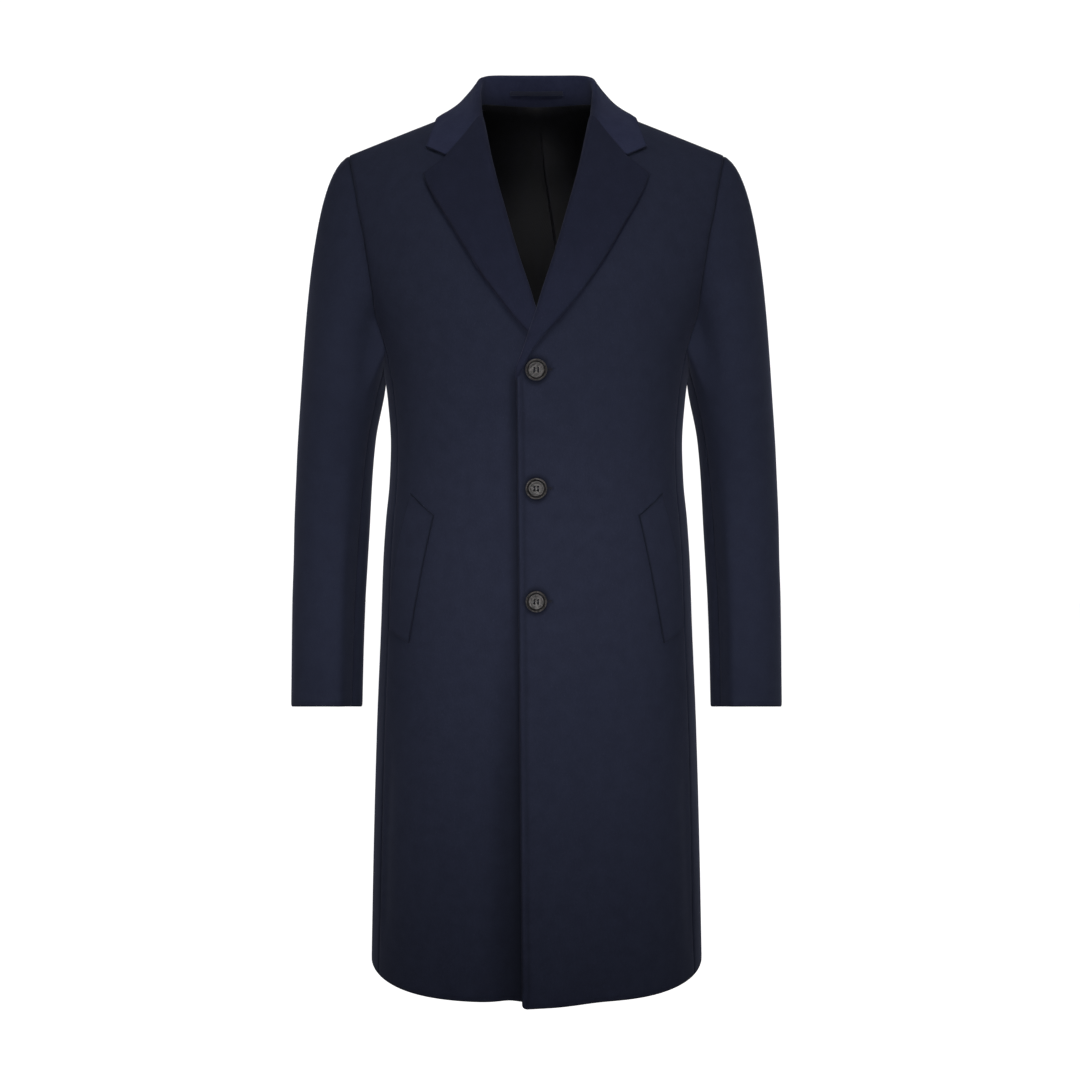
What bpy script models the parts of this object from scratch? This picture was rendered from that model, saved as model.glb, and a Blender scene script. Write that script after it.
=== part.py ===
"""Single-breasted wool overcoat, filled out as if worn, with nobody inside.

The coat is cut and sewn from walls of cloth. Metres, +Z up, front towards -Y, the wearer's left at +X.
The origin is on the centre line, level with the shoulder seams at the neck, where the shoulders carry it.
"""

import math

import bpy
import numpy as np
from mathutils import Vector

# Cloth and seams
CLOTH = 0.0020  # wall of the melton cloth
FACING = 0.0015  # wall of the lapel facing and the welts
LINING = 0.0010
SEAM = 0.0003  # parting between two sewn pieces
HALF_SEAM = SEAM / 2

# Body rings, from hem to above the shoulders
BODY_RINGS = (
    # height, half width, front depth, back depth, middle, front squareness
    (-1.040, 0.2060, 0.1520, 0.1500, 0.000, 3.4),
    (-0.880, 0.2012, 0.1480, 0.1480, 0.000, 3.3),
    (-0.730, 0.1955, 0.1440, 0.1460, 0.000, 3.1),
    (-0.600, 0.1888, 0.1410, 0.1430, 0.000, 2.9),
    (-0.530, 0.1857, 0.1390, 0.1400, 0.000, 2.8),
    (-0.480, 0.1820, 0.1380, 0.1370, 0.000, 2.7),
    (-0.430, 0.1768, 0.1380, 0.1340, 0.000, 2.6),
    (-0.385, 0.1750, 0.1400, 0.1330, 0.001, 2.6),
    (-0.335, 0.1780, 0.1440, 0.1370, 0.002, 2.6),
    (-0.295, 0.1835, 0.1470, 0.1430, 0.003, 2.6),
    (-0.255, 0.1940, 0.1485, 0.1480, 0.004, 2.6),
    (-0.200, 0.2150, 0.1490, 0.1510, 0.005, 2.6),
    (-0.150, 0.2310, 0.1490, 0.1520, 0.006, 2.6),
    (-0.100, 0.2440, 0.1480, 0.1510, 0.007, 2.6),
    (0.000, 0.2560, 0.1470, 0.1490, 0.008, 2.6),
    (0.080, 0.2620, 0.1460, 0.1480, 0.008, 2.6),
)
FRONT_ROUNDNESS = 1.75  # how round the front turns into the side
BACK_POWER = 2.2  # 2 would be an ellipse; more is squarer
RING_POWER = 2.2  # spreads angles round a ring

# Shoulders
NECK_POINT_X = 0.0750
NECK_POINT_Z = 0.0108
SHOULDER_TIP_X = 0.2215
SHOULDER_SLOPE = 0.389  # drop for each metre outwards
RIDGE_FRONT = 0.260  # how far below the shoulder ridge the chest is at full depth
RIDGE_BACK = 0.170
RIDGE_POWER = 0.62
NAPE_RISE = 0.018  # the back climbs this much more towards the nape
NAPE_REACH = 0.090
NAPE_Z = 0.0120

# Front edges, side seams and hem
SIDE_SEAM_ANGLE = 68.0  # degrees round the ring from the centre front
BREAK_X = -0.0200  # where the lapel starts to turn back, past the centre line
BREAK_Z = -0.2900
HEM_EDGE_X = -0.0175
HEM_Z = -1.0280
HEM_FRONT_DROP = 0.0060  # the outer front hangs a little lower at its edge
ROLL_LINE = (
    # height, x of the lapel's fold
    (BREAK_Z, BREAK_X),
    (-0.2560, -0.0075),
    (-0.2305, 0.0036),
    (-0.2029, 0.0135),
    (-0.1664, 0.0256),
    (-0.1252, 0.0375),
    (-0.0618, 0.0545),
    (-0.0097, 0.0650),
)
LOWER_ROWS = (-0.960, -0.885, -0.810, -0.735, -0.665, -0.600, -0.545, -0.495, -0.450, -0.410, -0.370, -0.330)
FRONT_COLUMNS = 10
BACK_COLUMNS = 8
CENTRE_BACK_Z = -0.275

# The outer front rides over the inner one
LIFT_CROSSING = 0.0078
LIFT_SKIRT = 0.0048
LIFT_FULL_X = 0.022
LIFT_NONE_X = 0.080

# Armhole, tip of the shoulder round to the side seam, and on round the back
ARMHOLE_FRONT = (
    # x, height
    (SHOULDER_TIP_X, None),
    (0.2150, -0.0720),
    (0.2095, -0.0980),
    (0.2030, -0.1290),
    (0.1965, -0.1660),
    (0.1908, -0.2050),
    (0.1862, -0.2400),
)
ARMHOLE_UNDER = (
    # degrees round the ring, height
    (SIDE_SEAM_ANGLE, -0.2680),
    (79.0, -0.2840),
    (90.0, -0.2900),
    (101.0, -0.2840),
    (110.0, -0.2640),
)
ARMHOLE_BACK = (
    # x, height
    (0.1885, -0.2350),
    (0.1955, -0.2020),
    (0.2020, -0.1680),
    (0.2065, -0.1340),
    (0.2108, -0.1010),
    (0.2155, -0.0740),
    (SHOULDER_TIP_X, None),
)
FRONT_EDGE_STATIONS = (BREAK_Z, -0.2450, -0.1980, -0.1500, -0.1030, -0.0560, -0.0097, NECK_POINT_Z)

# Sleeves
SLEEVE_RINGS = (
    # height, centre x, centre y, half across, half deep, forward tilt in degrees
    (-0.3340, 0.2345, 0.0000, 0.0475, 0.0760, 0.0),
    (-0.3820, 0.2400, 0.0035, 0.0464, 0.0715, 1.0),
    (-0.4300, 0.2442, 0.0060, 0.0456, 0.0670, 3.0),
    (-0.4790, 0.2470, 0.0040, 0.0454, 0.0640, 6.0),
    (-0.5280, 0.2490, -0.0020, 0.0445, 0.0615, 9.0),
    (-0.5770, 0.2508, -0.0120, 0.0438, 0.0590, 11.0),
    (-0.6230, 0.2515, -0.0225, 0.0432, 0.0565, 12.0),
    (-0.6640, 0.2518, -0.0320, 0.0428, 0.0545, 12.6),
    (-0.7000, 0.2520, -0.0400, 0.0426, 0.0530, 12.6),
)
CAP_ROWS = 7
CAP_SWELL_TOP = 0.130  # how strongly the sleeve head starts sideways at the shoulder
CAP_SWELL_SIDE = 0.050
CAP_SWELL_UNDER = 0.012
FRONT_SLEEVE_SEAM = 8  # stations along the armhole from the shoulder tip, forwards
HIND_SLEEVE_SEAM = 12
MITRE_LIMIT = 2.2  # the longest rim at a sharp seam, in walls

# Lapel and facing
LAPEL_NOTCH = (0.1015, -0.0540)  # x, height in the front view
LAPEL_TIP = (0.1275, -0.0750)
LAPEL_EDGE = (
    # share of the way down from the tip, x, height
    (0.00, 0.1275, -0.0750),
    (0.06, 0.1230, -0.0870),
    (0.30, 0.0960, -0.1350),
    (0.55, 0.0650, -0.1850),
    (0.78, 0.0320, -0.2270),
    (0.92, 0.0010, -0.2630),
    (1.00, -0.0145, -0.2950),
)
LAPEL_COLUMNS = 8
LAPEL_NOTCH_COLUMN = 5
LAPEL_NOTCH_FADE = 0.30
LAPEL_PROUD = 0.0009  # parting between lapel and chest
FACING_PARTING = 0.0010
FACING_RETURN = 0.014
FOLD_STEPS = 4

# Collar
COLLAR_WALL = 0.0020
COLLAR_STATIONS = (
    # share from nape to gorge; fold x, y, height; outer edge x, height; on the front
    (0.00, 0.0000, 0.0800, 0.0515, 0.0000, 0.0020, False),
    (0.14, 0.0230, 0.0780, 0.0513, 0.0370, 0.0010, False),
    (0.28, 0.0450, 0.0700, 0.0505, 0.0710, -0.0030, False),
    (0.41, 0.0620, 0.0540, 0.0475, 0.0950, -0.0080, False),
    (0.53, 0.0685, 0.0330, 0.0395, 0.1080, -0.0080, False),
    (0.65, 0.0692, 0.0120, 0.0270, 0.1150, -0.0072, True),
    (0.78, 0.0682, -0.0100, 0.0115, 0.1190, -0.0170, True),
    (0.90, 0.0668, -0.0260, -0.0010, 0.1225, -0.0290, True),
    (1.00, 0.0652, -0.0390, -0.0092, 0.1262, -0.0425, True),
)
COLLAR_COLUMNS = 11  # from nape to gorge
COLLAR_FALL_STEPS = 6
COLLAR_STAND_STEPS = 2
COLLAR_FOLD = 0.0025  # half the space between stand and fall at the fold
COLLAR_TUCK = 0.0026  # parting between the neck edge and the stand
COLLAR_LYING = 0.62  # share from the nape where the fall comes down on the shoulder
COLLAR_CLEAR = 0.0040  # how much more it stands off where it crosses the shoulder seam
GORGE_PARTING = 0.0012

# Back lining, down to the waist
LINING_PARTING = 0.0030
LINING_NECK_PARTING = 0.0020  # more of it towards the neck, where the back turns over fastest
LINING_ROWS = 3  # rows of the back below the armhole that it covers
LINING_COLUMNS = 7
LINING_MARGIN = 0.009
PLEAT_DEPTH = 0.006
PLEAT_FOLD = 0.003
PLEAT_WIDTH = 0.034
PLEAT_TOP_X = 0.004
PLEAT_DRIFT = 0.085  # sideways for each metre down

# Pocket welts, corners in the front view
WELT_CORNERS = (
    # x, height of: top inner, top outer, bottom outer, bottom inner
    (0.1165, -0.4600),
    (0.1450, -0.4370),
    (0.1730, -0.6000),
    (0.1475, -0.6120),
)
WELT_BOW = 1.5  # degrees that the open edge bellies outwards
WELT_ROWS = 6
WELT_COLUMNS = 3
WELT_PROUD = 0.0006

# Buttons, turned and dished, with the thread shank that holds them off the cloth
BUTTON_HEIGHTS = (-0.2925, -0.4255, -0.5545)
BUTTON_PROFILE = (
    # radius, height above the cloth: from the middle of the face out and round the back
    (0.0000, 0.0038),
    (0.0050, 0.0039),
    (0.0078, 0.0045),
    (0.0087, 0.0041),
    (0.0096, 0.0052),
    (0.0114, 0.0053),
    (0.0127, 0.0039),
    (0.0118, 0.0024),
    (0.0080, 0.0016),
    (0.0022, 0.0016),
    (0.0020, 0.0000),
    (0.0000, 0.0000),
)
BUTTON_STEPS = 20
THREAD_HOLE_RADIUS = 0.0008
THREAD_HOLE_SPREAD = 0.0016  # half the square that the four holes stand on
THREAD_HOLE_DEPTH = 0.0012
THREAD_HOLE_SIDES = 6

# Hanger loop, inside the back of the collar
LOOP_HALF = 0.0330
LOOP_HEIGHT = 0.0310
LOOP_WIDTH = 0.0060
LOOP_THICK = 0.0012
LOOP_PARTING = 0.0013
LOOP_BOW = 0.0030
LOOP_STEPS = 8

NAVY = (0.0160, 0.0185, 0.0330, 1.0)
NAVY_LAPEL = (0.0190, 0.0215, 0.0390, 1.0)
BLACK = (0.0030, 0.0032, 0.0040, 1.0)
HORN = (0.0600, 0.0550, 0.0500, 1.0)


# ---------------------------------------------------------------- curves and tables


def smooth(places, values, at):
    """A curve through (place, value) pairs with no overshoot, read at any place."""
    places = np.asarray(places, float)
    values = np.asarray(values, float)
    at = np.asarray(at, float)
    step = np.diff(places)
    slope = np.diff(values) / step
    bend = np.empty(len(places))
    bend[0], bend[-1] = slope[0], slope[-1]
    product = slope[:-1] * slope[1:]
    total = np.where(product > 0, slope[:-1] + slope[1:], 1.0)
    bend[1:-1] = np.where(product > 0, 2 * product / total, 0.0)
    i = np.clip(np.searchsorted(places, at) - 1, 0, len(step) - 1)
    t = np.clip((at - places[i]) / step[i], 0.0, 1.0)
    return (
        (1 + 2 * t) * (1 - t) ** 2 * values[i]
        + t * (1 - t) ** 2 * step[i] * bend[i]
        + t**2 * (3 - 2 * t) * values[i + 1]
        + t**2 * (t - 1) * step[i] * bend[i + 1]
    )


def ease(t):
    """0 below 0, 1 above 1, and an S between."""
    t = np.clip(t, 0.0, 1.0)
    return t * t * (3 - 2 * t)


def unit(vectors):
    return vectors / np.maximum(np.linalg.norm(vectors, axis=-1, keepdims=True), 1e-12)


def with_halves(values):
    """The values, with one halfway between each pair."""
    values = np.asarray(values, float)
    return np.interp(np.arange(2 * len(values) - 1) / 2, np.arange(len(values)), values)


# ---------------------------------------------------------------- the body's surface


def ring(height):
    """Half width, front depth, back depth, middle and front squareness of the body at a height."""
    table = np.array(BODY_RINGS)
    return [smooth(table[:, 0], table[:, k], height) for k in range(1, 6)]


def ridge(x, front):
    """Height of the shoulder ridge over x. The back's climbs to the nape."""
    across = np.sqrt(x * x + 0.02**2)
    line = NECK_POINT_Z + SHOULDER_SLOPE * (NECK_POINT_X - across)
    line = line + SHOULDER_SLOPE * (math.hypot(NECK_POINT_X, 0.02) - NECK_POINT_X)
    rise = NAPE_RISE * np.clip(1 - (x / NAPE_REACH) ** 2, 0, 1) ** 2
    return np.where(front, line, line + rise - NAPE_RISE * (1 - (NECK_POINT_X / NAPE_REACH) ** 2) ** 2)


def depth(x, z, front):
    """How far the cloth stands from the body's middle plane: a ring, rounded off up to the shoulder ridge."""
    half, deep_front, deep_back, _, squareness = ring(z)
    across = np.clip(np.abs(x) / half, 0, 1)
    round_front = (1 - across**squareness) ** (1 / FRONT_ROUNDNESS)
    round_back = (1 - across**BACK_POWER) ** (1 / BACK_POWER)
    reach = np.where(front, RIDGE_FRONT, RIDGE_BACK)
    below = np.clip((ridge(x, front) - z) / reach, 0, 1)
    rise = (1 - (1 - below) ** 2) ** RIDGE_POWER
    return np.where(front, deep_front * round_front, deep_back * round_back) * rise


def on_body(x, z, front):
    """Point of the coat's outer surface at x and a height, on its front or its back."""
    x, z = np.broadcast_arrays(np.asarray(x, float), np.asarray(z, float))
    middle = ring(z)[3]
    return np.stack([x, middle + np.where(front, -1, 1) * depth(x, z, front), z], axis=-1)


def body_normal(x, z, front):
    """Outward normal of that surface. On the ridge it is square to the shoulder seam."""
    x, z = np.broadcast_arrays(np.asarray(x, float), np.asarray(z, float))
    h = 1e-4
    on_ridge = z > ridge(x, front) - 1e-5
    half = ring(z)[0]
    xs = np.clip(x, -half + 3 * h, half - 3 * h)
    zs = np.minimum(z, ridge(xs, front) - 4 * h)
    gx = (depth(xs + h, zs, front) - depth(xs - h, zs, front)) / (2 * h)
    gz = (depth(xs, zs + h, front) - depth(xs, zs - h, front)) / (2 * h)
    lean = (ring(zs + h)[3] - ring(zs - h)[3]) / (2 * h)
    side = np.where(front, -1.0, 1.0) * np.ones_like(x)
    normal = np.stack([-gx, side, -gz - side * lean], axis=-1)
    top = np.stack([SHOULDER_SLOPE * np.sign(x), np.zeros_like(x), np.ones_like(x)], axis=-1)
    return unit(np.where(on_ridge[..., None], top, normal))


def ring_x(angle, z):
    """x at an angle round the ring, in degrees from the centre front."""
    return ring(z)[0] * np.sin(np.radians(angle)) ** (2 / RING_POWER)


def lift(x, z):
    """How far the outer front stands off its own surface, where it crosses the inner one."""
    amount = LIFT_SKIRT + (LIFT_CROSSING - LIFT_SKIRT) * ease((z + 0.40) / 0.07)
    return amount * ease((LIFT_NONE_X - x) / (LIFT_NONE_X - LIFT_FULL_X)) * ease((-0.15 - z) / 0.07)


def roll_x(z):
    table = np.array(ROLL_LINE)
    return smooth(table[:, 0], table[:, 1], z)


# ---------------------------------------------------------------- the armhole, shared by body and sleeve


def armhole():
    """Stations round the left armhole from the shoulder tip, forwards and down, and up the back.

    Gives x, height, front or back, outer point and outward normal of the body for each.
    """
    tip = float(ridge(np.array(SHOULDER_TIP_X), True))
    rows = [(x, tip if z is None else z, True) for x, z in ARMHOLE_FRONT]
    rows += [(float(ring_x(angle, z)), z, angle < 90) for angle, z in ARMHOLE_UNDER]
    rows += [(x, tip if z is None else z, False) for x, z in ARMHOLE_BACK[:-1]]
    x, z = np.array([row[0] for row in rows]), np.array([row[1] for row in rows])
    front = np.array([row[2] for row in rows])
    return x, z, front, on_body(x, z, front), body_normal(x, z, front)


# ---------------------------------------------------------------- sleeve surface


def sleeve_ring(row, angles):
    """One ring of the sleeve. Angle 0 is the outer side, 90 the front, 180 the side next to the body."""
    z, cx, cy, across, deep, tilt = row
    angles = np.radians(angles)
    x = cx + across * np.cos(angles)
    y = cy - deep * np.sin(angles)
    return np.stack([x, y, z - (y - cy) * math.tan(math.radians(tilt))], axis=-1)


def armhole_angles(points):
    """The angle round the sleeve that each armhole station runs down to."""
    middle = points.mean(axis=0)
    up = points[:, 2] - middle[2]
    forward = middle[1] - points[:, 1]
    half_high = (points[:, 2].max() - points[:, 2].min()) / 2
    half_deep = (points[:, 1].max() - points[:, 1].min()) / 2
    angles = np.degrees(np.arctan2(forward / half_deep, up / half_high))
    angles = np.where(angles < -1e-6, angles + 360, angles)
    angles[0] = 0.0
    return angles


def sleeve_grid():
    """Outer points of the left sleeve: rows from the armhole to the cuff, columns round the arm.

    Also the way that each column leaves the armhole.
    """
    _, _, _, start, _ = armhole()
    angles = armhole_angles(start)
    first = sleeve_ring(SLEEVE_RINGS[0], angles)
    second = sleeve_ring(SLEEVE_RINGS[1], angles)
    drop = (start[:, 2] - first[:, 2])[:, None]
    down = (second - first) / (SLEEVE_RINGS[0][0] - SLEEVE_RINGS[1][0]) * drop
    turn = np.radians(angles)
    top = np.clip(np.cos(turn), 0, 1) ** 2
    under = np.clip(-np.cos(turn), 0, 1) ** 2
    sides = 1 - top - under
    swell = CAP_SWELL_TOP * top + CAP_SWELL_SIDE * sides + CAP_SWELL_UNDER * under
    leave = np.stack([np.ones_like(turn), -0.35 * np.sin(turn) * sides, -0.45 * top - 0.75 * sides - 1.5 * under], axis=-1)
    leave = leave * swell[:, None]
    rows = []
    for k in range(CAP_ROWS):
        t = (k / CAP_ROWS) ** 1.15
        rows.append(
            (1 + 2 * t) * (1 - t) ** 2 * start
            + t * (1 - t) ** 2 * leave
            + t**2 * (3 - 2 * t) * first
            + t**2 * (t - 1) * down
        )
    rows += [sleeve_ring(row, angles) for row in SLEEVE_RINGS]
    return np.array(rows), leave


def tube_normals(grid):
    """Outward normals of a grid that closes on itself across its columns."""
    round_ = np.roll(grid, -1, axis=1) - np.roll(grid, 1, axis=1)
    down = np.gradient(grid, axis=0)
    normal = unit(np.cross(round_, down))
    outward = grid - grid.mean(axis=1, keepdims=True)
    return normal * np.sign((normal * outward).sum(axis=-1).mean())


def armhole_seam():
    """Rim of the armhole seam, station by station.

    Gives the outer point, the way from there to the inner face, and the way across from body to sleeve.
    The rim halves the angle between the two walls.
    """
    _, _, _, points, body_side = armhole()
    grid, leave = sleeve_grid()
    rim = unit(body_side + tube_normals(grid)[0])
    length = CLOTH / np.maximum((rim * body_side).sum(axis=1, keepdims=True), 1 / MITRE_LIMIT)
    along = unit(np.roll(points, -1, axis=0) - np.roll(points, 1, axis=0))
    across = unit(np.cross(along, rim))
    across *= np.sign((across * leave).sum(axis=1, keepdims=True))
    return points, -rim * length, across


# ---------------------------------------------------------------- meshes and materials


def make_material(name, colour, roughness):
    material = bpy.data.materials.new(name)
    material.use_nodes = True
    shader = material.node_tree.nodes["Principled BSDF"]
    shader.inputs["Base Color"].default_value = colour
    shader.inputs["Roughness"].default_value = roughness
    material.diffuse_color = colour
    return material


def mirrored(points, side):
    """The left piece for side 1, its reflection for side -1."""
    return points * np.array([side, 1.0, 1.0])


def grid_faces(rows, columns, start=0):
    i, j = np.meshgrid(np.arange(rows - 1), np.arange(columns - 1), indexing="ij")
    a = (start + i * columns + j).ravel()
    return np.stack([a, a + 1, a + columns + 1, a + columns], axis=1)


def add_object(name, vertices, faces, material, collection):
    mesh = bpy.data.meshes.new(name)
    mesh.from_pydata([tuple(v) for v in vertices], [], [tuple(int(i) for i in f) for f in faces])
    mesh.materials.append(material)
    mesh.shade_smooth()
    mesh.set_sharp_from_angle(angle=math.radians(40))
    mesh.update()
    piece = bpy.data.objects.new(name, mesh)
    collection.objects.link(piece)
    return piece


def cloth_wall(name, outer, inner, material, collection, cut_out=None):
    """A closed wall between an outer and an inner grid, with rims all round.

    cut_out is the row and the column past which the cloth is cut away.
    """
    rows, columns = outer.shape[:2]
    count = rows * columns
    face = grid_faces(rows, columns)
    if cut_out:
        row, column = face[:, 0] // columns, face[:, 0] % columns
        face = face[(row < cut_out[0]) | (column < cut_out[1])]
    starts = face.ravel()
    ends = np.roll(face, -1, axis=1).ravel()
    lone = ~np.isin(starts * count + ends, ends * count + starts)
    starts, ends = starts[lone], ends[lone]
    rim = np.stack([ends, starts, starts + count, ends + count], axis=1)
    faces = halved(np.concatenate([face, face[:, [0, 3, 2, 1]] + count, rim]))
    used, index = np.unique(faces, return_inverse=True)
    faces = index.reshape(faces.shape)
    vertices = np.concatenate([outer.reshape(-1, 3), inner.reshape(-1, 3)])[used]
    if volume(vertices, faces) < 0:
        faces = faces[:, ::-1]
    return add_object(name, vertices, faces, material, collection)


def halved(faces):
    """Four-sided faces as triangles, all cut along the same diagonal, so that both faces of a wall match."""
    return np.concatenate([faces[:, [0, 1, 2]], faces[:, [0, 2, 3]]])


def volume(vertices, faces):
    a, b, c = (vertices[faces[:, k]] for k in range(3))
    return (np.cross(a, b) * c).sum()


def folded_sheet(name, grid, facing_out, wall, material, collection, offset=0.0):
    """An open sheet given its wall by Solidify. facing_out is a way that its first face should look."""
    rows, columns = grid.shape[:2]
    faces = halved(grid_faces(rows, columns))
    vertices = grid.reshape(-1, 3)
    a, b, c = (vertices[faces[0, k]] for k in range(3))
    if np.dot(np.cross(b - a, c - a), facing_out) < 0:
        faces = faces[:, ::-1]
    piece = add_object(name, vertices, faces, material, collection)
    thicken = piece.modifiers.new("cloth", "SOLIDIFY")
    thicken.thickness = wall
    thicken.offset = offset
    thicken.use_even_offset = True
    thicken.thickness_clamp = 0.0
    return piece


def pull_in(outer, inner, axis, end, by=HALF_SEAM):
    """Draws one edge of a wall back from its seam, by half the parting."""
    pick = [slice(None)] * 2
    pick[axis] = end
    next_in = [slice(None)] * 2
    next_in[axis] = 1 if end == 0 else -2
    way = unit(outer[tuple(next_in)] - outer[tuple(pick)]) * by
    outer[tuple(pick)] += way
    inner[tuple(pick)] += way


# ---------------------------------------------------------------- fronts


def front_edge_x(z):
    """x of the front edge below the break of the lapel."""
    return BREAK_X + (HEM_EDGE_X - BREAK_X) * (BREAK_Z - z) / (BREAK_Z - HEM_Z)


def front_grid(outer_front):
    """x, height of the left front's points: rows from hem to shoulder seam, columns from edge to side."""
    ax, az, _, _, _ = armhole()
    turn = len(ARMHOLE_FRONT)
    share = np.linspace(0, 1, FRONT_COLUMNS + 1)
    xs, zs = [], []
    for z in (HEM_Z,) + LOWER_ROWS:
        edge = float(front_edge_x(z))
        edge_angle = math.degrees(math.asin((abs(edge) / float(ring(z)[0])) ** (RING_POWER / 2)))
        edge_angle = math.copysign(edge_angle, edge)
        angle = edge_angle + (SIDE_SEAM_ANGLE - edge_angle) * share
        x = np.sign(angle) * ring_x(np.abs(angle), z)
        drop = HEM_FRONT_DROP * ease((0.10 - x) / 0.10) if outer_front and z == HEM_Z else 0.0
        xs.append(x)
        zs.append(np.full_like(x, z) - drop)
    edge_z = with_halves(FRONT_EDGE_STATIONS)
    over_neck = (edge_z - ROLL_LINE[-1][0]) / (NECK_POINT_Z - ROLL_LINE[-1][0])
    edge_x = np.where(over_neck > 0, ROLL_LINE[-1][1] + (NECK_POINT_X - ROLL_LINE[-1][1]) * over_neck, roll_x(edge_z))
    side_x, side_z = with_halves(ax[turn::-1]), with_halves(az[turn::-1])
    for x0, z0, x1, z1 in zip(edge_x, edge_z, side_x, side_z):
        x = x0 + (x1 - x0) * share
        top_gap0 = (float(ridge(np.array(x0), True)) - z0) / RIDGE_FRONT
        top_gap1 = (float(ridge(np.array(x1), True)) - z1) / RIDGE_FRONT
        gap = (math.sqrt(max(top_gap0, 0)) * (1 - share) + math.sqrt(max(top_gap1, 0)) * share) ** 2
        z = ridge(x, True) - RIDGE_FRONT * gap
        xs.append(x)
        zs.append(z)
    return np.array(xs), np.array(zs)


def make_front(name, side, outer_front, material, collection):
    x, z = front_grid(outer_front)
    outer = on_body(x, z, True)
    normal = body_normal(x, z, True)
    if outer_front:
        outer = outer + normal * lift(x, z)[..., None]
    inner = outer - normal * CLOTH
    pull_in(outer, inner, 1, -1)
    pull_in(outer, inner, 0, -1)
    turn = len(ARMHOLE_FRONT)
    rows = [outer.shape[0] - 1 - 2 * j for j in range(turn, -1, -1)]
    seat_armhole(outer, inner, [(row, FRONT_COLUMNS) for row in rows], range(turn, -1, -1))
    for row in rows[:-1]:
        for face in (outer, inner):
            face[row + 1, -1] = (face[row, -1] + face[row + 2, -1]) / 2
    cloth_wall(name, mirrored(outer, side), mirrored(inner, side), material, collection)


def seat_armhole(outer, inner, cells, stations):
    """Gives the cells (row, column) of a wall their mitred rim at the armhole stations."""
    points, rim, across = armhole_seam()
    for (row, column), j in zip(cells, stations):
        shift = outer[row, column] - points[j]
        shift -= across[j] * (shift @ across[j])
        outer[row, column] = points[j] + shift - across[j] * HALF_SEAM
        inner[row, column] = outer[row, column] + rim[j]


# ---------------------------------------------------------------- backs


def back_grid():
    """x, height, front or back of the left back's points: rows from hem up, columns from the centre seam to the side.

    The last rows stop short of the side, at the armhole.
    """
    ax, az, _, _, _ = armhole()
    count = len(ax)
    under = np.array(ARMHOLE_UNDER)
    inner_angles = 180 + (under[-1, 0] - 180) * np.linspace(0, 1, BACK_COLUMNS + 1) ** 0.9
    angles = np.concatenate([inner_angles, under[-2::-1, 0]])
    share = np.linspace(0, 1, BACK_COLUMNS + 1)
    top_of_side = under[-2::-1, 1]
    xs = [ring_x(angles, z) for z in (HEM_Z,) + LOWER_ROWS]
    zs = [np.full(len(angles), z) for z in (HEM_Z,) + LOWER_ROWS]
    stations = [j % count for j in range(len(ARMHOLE_FRONT) + len(ARMHOLE_UNDER) - 1, count + 1)]
    side_x, side_z = with_halves(ax[stations]), with_halves(az[stations])
    for climb, x1, z1 in zip(np.linspace(0, 1, len(side_x)), side_x, side_z):
        centre_z = float(smooth([0, 1], [CENTRE_BACK_Z, NAPE_Z], climb))
        z = centre_z + (z1 - centre_z) * share ** (1 + climb)
        by_angle = 1 - ease(climb / 0.6)
        x = by_angle * ring_x(inner_angles, z) + (1 - by_angle) * x1 * share
        x[-1] = x1
        if climb == 1:
            neck = NAPE_Z + (NECK_POINT_Z - NAPE_Z) * (x / NECK_POINT_X) ** 2
            z = np.where(x < NECK_POINT_X, neck, ridge(x, True))
        xs.append(np.concatenate([x, ring_x(under[-2::-1, 0], top_of_side)]))
        zs.append(np.concatenate([z, top_of_side]))
    front = np.broadcast_to(np.concatenate([np.zeros_like(share), under[-2::-1, 0] < 90]).astype(bool), np.shape(xs))
    return np.array(xs), np.array(zs), front


def make_back(name, side, material, collection):
    x, z, front = back_grid()
    z = np.minimum(z, ridge(x, front))
    outer = on_body(x, z, front)
    normal = body_normal(x, z, front)
    inner = outer - normal * CLOTH
    for grid in (outer, inner):
        grid[:, 0, 0] = HALF_SEAM
    pull_in(outer, inner, 1, -1)
    pull_in(outer, inner, 0, -1)
    count = len(ARMHOLE_FRONT) + len(ARMHOLE_UNDER) + len(ARMHOLE_BACK) - 1
    under_row, under_column = len(LOWER_ROWS) + 1, BACK_COLUMNS
    side_cells = [(under_row, column) for column in range(outer.shape[1] - 1, under_column, -1)]
    rows = range(under_row, outer.shape[0], 2)
    back_cells = [(row, under_column) for row in rows]
    stations = [j % count for j in range(len(ARMHOLE_FRONT), count + 1)]
    seat_armhole(outer, inner, side_cells + back_cells, stations)
    for row in rows[:-1]:
        for face in (outer, inner):
            face[row + 1, under_column] = (face[row, under_column] + face[row + 2, under_column]) / 2
    cloth_wall(name, mirrored(outer, side), mirrored(inner, side), material, collection, (under_row, under_column))


# ---------------------------------------------------------------- sleeves


def make_sleeve(side_name, side, material, collection):
    """The top sleeve, and the under sleeve that closes it on the side of the body."""
    points, rim, across = armhole_seam()
    outer, _ = sleeve_grid()
    inner = outer - tube_normals(outer) * CLOTH
    outer[0] = points + across * HALF_SEAM
    inner[0] = outer[0] + rim
    count = outer.shape[1]
    front, hind = FRONT_SLEEVE_SEAM, HIND_SLEEVE_SEAM
    over = [j % count for j in range(hind, count + front + 1)]
    under = list(range(front, hind + 1))
    for kind, columns in (("top", over), ("under", under)):
        out, in_ = outer[:, columns].copy(), inner[:, columns].copy()
        pull_in(out, in_, 1, 0, SEAM)
        pull_in(out, in_, 1, -1, SEAM)
        name = f"sleeve_{kind}_{side_name}"
        cloth_wall(name, mirrored(out, side), mirrored(in_, side), material, collection)


# ---------------------------------------------------------------- lapels


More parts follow.
